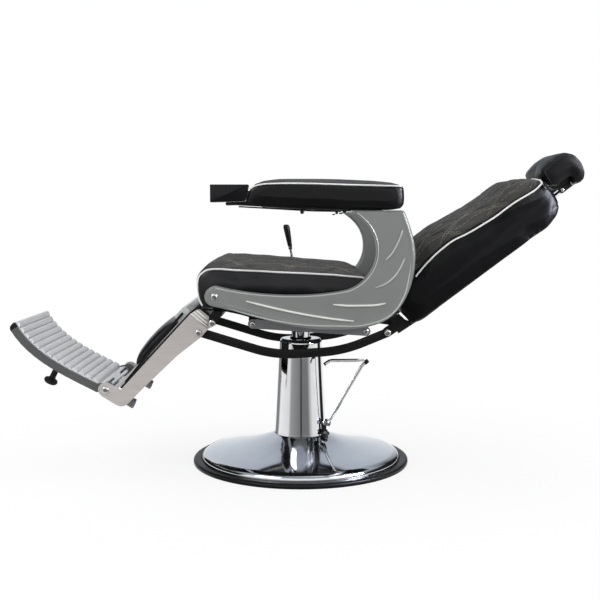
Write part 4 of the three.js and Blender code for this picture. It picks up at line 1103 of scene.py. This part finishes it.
def build_lever():
    profile = rounded([(0, 0), (6.6, 0), (7.4, 5), (9.6, 30), (11, 55), (10.8, 67), (8, 74), (0, 74.8)],
                      [0, 1, 3, 10, 8, 4, 3, 0], closed=False)
    lean = Vector((-0.18, 0, 0.984)).normalized()
    base = Vector((-34.6, 239, 652))
    rings = []
    for r, h in profile:
        flute = 0.05 if 8 < h < 62 else 0.0
        sizes = [(t, r * (1 - flute * (0.5 + 0.5 * math.cos(8 * t)))) for t in turns(40)]
        rings.append([base + Vector((q * math.cos(t), q * math.sin(t), 0)) + lean * h for t, q in sizes])
    grip = piece("lever_grip_moulded", skin(rings, caps=False), "gloss", "recline_lever", ("recline_lever_grip",), 40.0)
    weld(grip, sharp=40)
    tube("lever_ferrule", [base + lean * h for h in (-9, -8.5, -1, -0.5)], [4.4, 5.6, 6.2, 5.8], "steel",
         "recline_lever", 24, slot="chrome")


# ---------------------------------------------------------------- legrest and footrest
# where the bright ridges of the leg plates begin and end
TRIM_FRONT = [(-316, 473.2), (-308.2, 477.5), (-300.9, 482.4), (-291.8, 485.8)]
TRIM_REAR = [(-267.5, 431.2), (-263, 437), (-263.5, 448.7), (-263.5, 460)]


def shrunk(corners, amount):
    """An outline whose corners move towards its middle."""
    middle = Vector([sum(c[i] for c in corners) / len(corners) for i in (0, 1)])
    return [tuple(Vector(p) + (middle - Vector(p)).normalized() * amount) for p in corners]


def build_leg_details():
    edge = [LEG.at(a, 0, n) for a, n in ((-300, 66), (-40, 77.5), (-38, 84), (-60, 84), (-298, 71))]
    foot = rounded([(0, 0), (12, 0), (14.8, 26), (14, 28.8), (0, 28.8)], [0, 1, 2, 1.5, 0], steps=4)
    ends = list(zip(TRIM_FRONT, TRIM_REAR))
    for side, s in SIDES:
        prism("leg_edge_strip_%s" % side, [(p.x, p.z) for p in edge], s * 187, s * 194.4, "steel", "legrest", 0.6)
        # three bright ridges across the top of each plate
        for k, ((a, b), (c, d)) in enumerate(zip(ends, ends[1:])):
            prism("leg_trim_%d_%s" % (k, side), rounded(shrunk((a, b, d, c), 0.9), 1.2), s * 201.2, s * 203.8, "trim",
                  "legrest", 1.1)
        for name, x, y, z, radius, height, body in (
                ("leg_pivot_screw", -251.5, 215.2, 448.5, 9.6, 3.2, "seat_carriage"),
                ("front_link_screw", -291.5, 206.2, 419.5, 9.4, 3.4, "legrest"),
                ("footrest_screw", -560, 206, 255, 9.6, 3.4, "legrest"),
                ("rear_link_screw", 249, 192.2, 418, 9.2, 3.2, "backrest"),
                ("side_bar_screw_a", -136, 230, 448, 7.5, 4.0, "seat_carriage"),
                ("side_bar_screw_b", 184, 230, 427, 7.5, 4.0, "seat_carriage")):
            screw("%s_%s" % (name, side), (x, s * y, z), (0, s, 0), radius, height, body)
        for k, (x, z) in enumerate(((5, 764), (110, 760))):
            screw("arm_bar_screw_%d_%s" % (k, side), (x, s * 275, z), (0, 0, -1), 5.4, 4.0, "seat_carriage", "steel")
        turned("leg_foot_%s" % side, foot, (-510, s * 157, 217), (0.91, 0, -0.41), "grey_rubber", "legrest",
               ("leg_rubber_foot_%s" % side,))


def foot_curve():
    """The footrest's lower edge, as the CAD has it: a function of a share of its length and a distance off it."""
    pts = np.array(bezier((-591, 242), (-680, 289), (-791, 334), (-845, 437), 400) + [(-845, 437)])
    dist = np.concatenate([[0], np.cumsum(np.hypot(*np.diff(pts, axis=0).T))])

    def at(s):
        return np.array([np.interp(s, dist, pts[:, i]) for i in (0, 1)])

    def beside(t, off):
        s = t * dist[-1]
        step = at(min(dist[-1], s + 1)) - at(max(0, s - 1))
        x, z = step / max(1e-9, np.hypot(*step))
        p = at(s)
        return p[0] + z * off, p[1] - x * off

    return beside


def build_footrest():
    beside = foot_curve()
    ribs, per, half = 14, 14, 165.0
    across = [-half + half * 2 * k / 40 for k in range(41)]
    for extra in (0.4, 1.2, 2.6, 4.4, 6.4, 8.4):
        across += [-half + extra, half - extra]
    rings = []
    steps = ribs * per
    for y in sorted(set(round(v, 3) for v in across)):
        inset = half - abs(y)
        drop = 7.5 * (1 - math.sqrt(max(0.0, 1 - (1 - min(inset, 7.5) / 7.5) ** 2)))
        line = []
        for i in range(steps + 1):
            phase = (i % per) / per
            hump = (1 - abs(2 * phase - 1) ** 3.4) ** 0.55 * (0.84 + 0.16 * phase) if i < steps else 0.0
            rise = 22.4 + 8.6 * hump - (drop if hump > 0.05 else min(drop, 3.0)) * (0.35 + 0.65 * hump)
            line.append(beside(0.03 + 0.966 * i / steps, rise))
        line += [beside(0.03 + 0.966 * i / 24, 14) for i in range(24, -1, -1)]
        rings.append([(x, y, z) for x, z in line])
    piece("footrest_ribbed_deck", skin(rings), "rib", "footrest", ("footrest_deck",), 48.0)
    bumper = rounded([(0, 0), (9, 0), (9, 56), (19.5, 60.5), (20.8, 68.5), (15, 75), (0, 75)],
                     [0, 0, 4, 3, 3, 3, 0], steps=4)
    tip = [beside(*p) for p in ((0.945, -0.5), (0.957, -0.4), (0.982, 4.4), (0.9995, 18.6), (0.990, 22.6),
                                (0.945, 22.6))]
    plate = [beside(*p) for p in ((0.36, 13.6), (0.56, 13.6), (0.54, 4), (0.46, 1.0), (0.38, 2))]
    x, z = beside(0.46, 9)
    for side, s in SIDES:
        turned("bumper_%s" % side, bumper, (x, s * 84, z), (-0.44, 0, -0.9), "rubber_dull", "footrest",
               ("footrest_bumper_%s" % side,))
        prism("bumper_bracket_%s" % side, plate, s * 68, s * 100, "rubber_dull", "footrest")
        prism("rail_end_%s" % side, rounded(tip, 2.0), s * 164.6, s * 172.6, "rubber_dull", "footrest", 1.4,
              slot="footrest_rail")
    # folded plate and dark slot strips behind the hinge
    fold = [(-587.3, 264.6), (-571, 267.5), (-541, 243.5), (-543.5, 240.5), (-571, 262.5), (-586.5, 260.5)]
    prism("hinge_fold_plate", fold, -158, 158, "panel", "legrest", 0.6)
    slot = [(-567, 264.6), (-551, 251.8), (-550.4, 252.6), (-566.4, 265.4)]
    for k, y in enumerate((-100, 100)):
        prism("hinge_plate_slot_%d" % k, slot, y - 48, y + 48, "steel", "legrest", 0.2)


# ---------------------------------------------------------------- studio
# azimuth in degrees from the front towards +X, and the light that polished metal sees there on the floor
FLOOR_RING = [(-180, 1.0), (-152, 1.0), (-148, 0.24), (-118, 0.26), (-108, 1.0), (-55, 0.84), (-46, 0.37),
              (-6, 0.22), (-1, 0.20), (-0.5, 0.012), (4, 0.012), (5, 0.19), (34, 0.20), (54, 0.86), (100, 1.0),
              (104, 0.02), (126, 0.02), (130, 1.0), (180, 1.0)]
# the same for the low part of the room round the floor, and for the room behind, by height
LOW_RING = [(-180, 0.80), (-152, 0.72), (-146, 0.012), (-74, 0.012), (-66, 0.95), (-20, 1.0), (20, 1.0), (56, 0.95),
            (62, 0.012), (166, 0.012), (172, 0.70), (180, 0.80)]
ROOM_HEIGHTS = [(-90, (0.9, 0.9, 0.9)), (0, (0.86, 0.88, 0.90)), (14, (0.66, 0.70, 0.75)), (32, (0.52, 0.56, 0.62)),
                (52, (0.33, 0.36, 0.41)), (70, (0.27, 0.295, 0.33)), (90, (0.30, 0.32, 0.35))]
WHITE = (1.0, 1.0, 1.0, 1.0)


class Light(Nodes):
    """The nodes of a material or world that gives light."""

    def __init__(self, owner):
        owner.use_nodes = True
        self.tree = owner.node_tree
        self.tree.nodes.clear()
        self.coord = self.new("ShaderNodeTexCoord").outputs
        self.ray = self.new("ShaderNodeLightPath").outputs

    def colours(self, value, low, high, stops):
        """A colour ramp over a value from low to high. Stops give the value and a grey or a colour."""
        fixed = [((at - low) / (high - low), c if isinstance(c, tuple) else (c, c, c)) for at, c in stops]
        return self.ramp(self.remap(value, low, high, 0.0, 1.0), fixed)

    def azimuth(self, vector):
        """A direction's degrees from the front towards +X, and its three parts."""
        parts = self.new("ShaderNodeSeparateXYZ", {0: vector}).outputs
        forward = self.math("MULTIPLY", parts["Y"], -1.0)
        return self.math("MULTIPLY", self.math("ARCTAN2", parts["X"], forward), 180 / math.pi), parts

    def emit(self, kind, colour, strength=1.0):
        return self.new(kind, {"Color": colour, "Strength": strength}).outputs[0]

    def blend(self, share, first, second):
        return self.new("ShaderNodeMixShader", {"Fac": share, 1: first, 2: second}).outputs[0]

    def mix(self, share, first, second):
        node = self.new("ShaderNodeMix", {"Factor": share}, data_type="RGBA")
        ends = [socket for socket in node.inputs if socket.type == "RGBA"]
        for socket, colour in zip(ends, (first, second)):
            self.tree.links.new(colour, socket)
        return [socket for socket in node.outputs if socket.type == "RGBA"][0]


def build_floor():
    mesh = bpy.data.meshes.new("floor")
    mesh.from_pydata([(-40, -40, 0), (40, -40, 0), (40, 40, 0), (-40, 40, 0)], [], [(0, 1, 2, 3)])
    mat = bpy.data.materials.new("studio_floor")
    g = Light(mat)
    lit = g.new("ShaderNodeBsdfDiffuse", {"Color": (0.95, 0.95, 0.95, 1)}).outputs[0]
    turn, parts = g.azimuth(g.coord["Object"])
    reach = g.math("ADD", g.math("POWER", parts["X"], 2.0), g.math("POWER", parts["Y"], 2.0))
    # near the chair the floor keeps most of its shadow, and further off it is plain white
    share = g.remap(g.math("SQRT", reach), 0.35, 1.3, 0.84, 1.0)
    seen = g.blend(share, lit, g.emit("ShaderNodeEmission", WHITE))
    mirrored = g.emit("ShaderNodeEmission", g.colours(turn, -180, 180, FLOOR_RING))
    other = g.blend(g.ray["Is Glossy Ray"], lit, mirrored)
    g.new("ShaderNodeOutputMaterial", {"Surface": g.blend(g.ray["Is Camera Ray"], other, seen)})
    mesh.materials.append(mat)
    place("floor", mesh, None, None)


def build_world():
    world = bpy.context.scene.world = bpy.data.worlds.new("studio")
    g = Light(world)
    turn, parts = g.azimuth(g.coord["Generated"])
    height = g.math("MULTIPLY", g.math("ARCSINE", parts["Z"]), 180 / math.pi)
    room = g.colours(height, -90, 90, ROOM_HEIGHTS)
    front = g.mix(g.remap(height, 30.0, 44.0, 0.0, 1.0), g.colours(turn, -180, 180, LOW_RING), room)
    around = g.mix(g.remap(g.math("ABSOLUTE", turn), 150.0, 168.0, 0.0, 1.0), front, room)
    mirrored = g.emit("ShaderNodeBackground", around)
    soft = g.emit("ShaderNodeBackground", (0.97, 0.985, 1.0, 1.0), 0.62)
    white = g.emit("ShaderNodeBackground", WHITE)
    plain = g.math("ADD", g.ray["Is Camera Ray"], g.ray["Is Transmission Ray"])
    seen = g.blend(plain, g.blend(g.ray["Is Glossy Ray"], soft, mirrored), white)
    g.new("ShaderNodeOutputWorld", {"Surface": seen})


def build_stage():
    build_floor()
    build_world()
    scene = bpy.context.scene
    for name, at, aim, size, power, colour, diffuse in (
            ("key", (-2.4, -2.6, 3.0), (0, 0, 0.5), 1.8, 46.0, (1, 1, 1), True),
            ("fill", (2.8, -2.2, 2.2), (0, 0, 0.6), 1.8, 26.0, (1, 1, 1), True),
            ("top", (0.2, 0.6, 3.6), (0, 0, 0.5), 2.4, 34.0, (1, 1, 1), True),
            ("side", (2.6, -1.2, 1.65), (0.6, 0, 0.8), 1.1, 190.0, (0.84, 0.87, 1.0), False)):
        data = bpy.data.lights.new(name, "AREA")
        data.size, data.energy, data.color = size, power, colour
        lamp = bpy.data.objects.new(name, data)
        lamp.location = at
        lamp.visible_diffuse = diffuse
        lamp.rotation_euler = (Vector(aim) - Vector(at)).to_track_quat("-Z", "Y").to_euler()
        scene.collection.objects.link(lamp)
    data = bpy.data.cameras.new("camera")
    data.lens, data.sensor_width = 56.1, 36.0
    camera = bpy.data.objects.new("camera", data)
    camera.location = (-0.002, -2.85, 0.740)
    camera.rotation_euler = (math.radians(90 - 4.89), 0, 0)
    scene.collection.objects.link(camera)
    scene.camera = camera
    scene.view_settings.view_transform = "Standard"


for build in (plain_nodes, build_base, build_pedal, build_links, build_seat, build_back, build_headrest,
              build_arm_pads, build_calf, build_arms, build_lever, build_leg_details, build_footrest, build_stage):
    build()
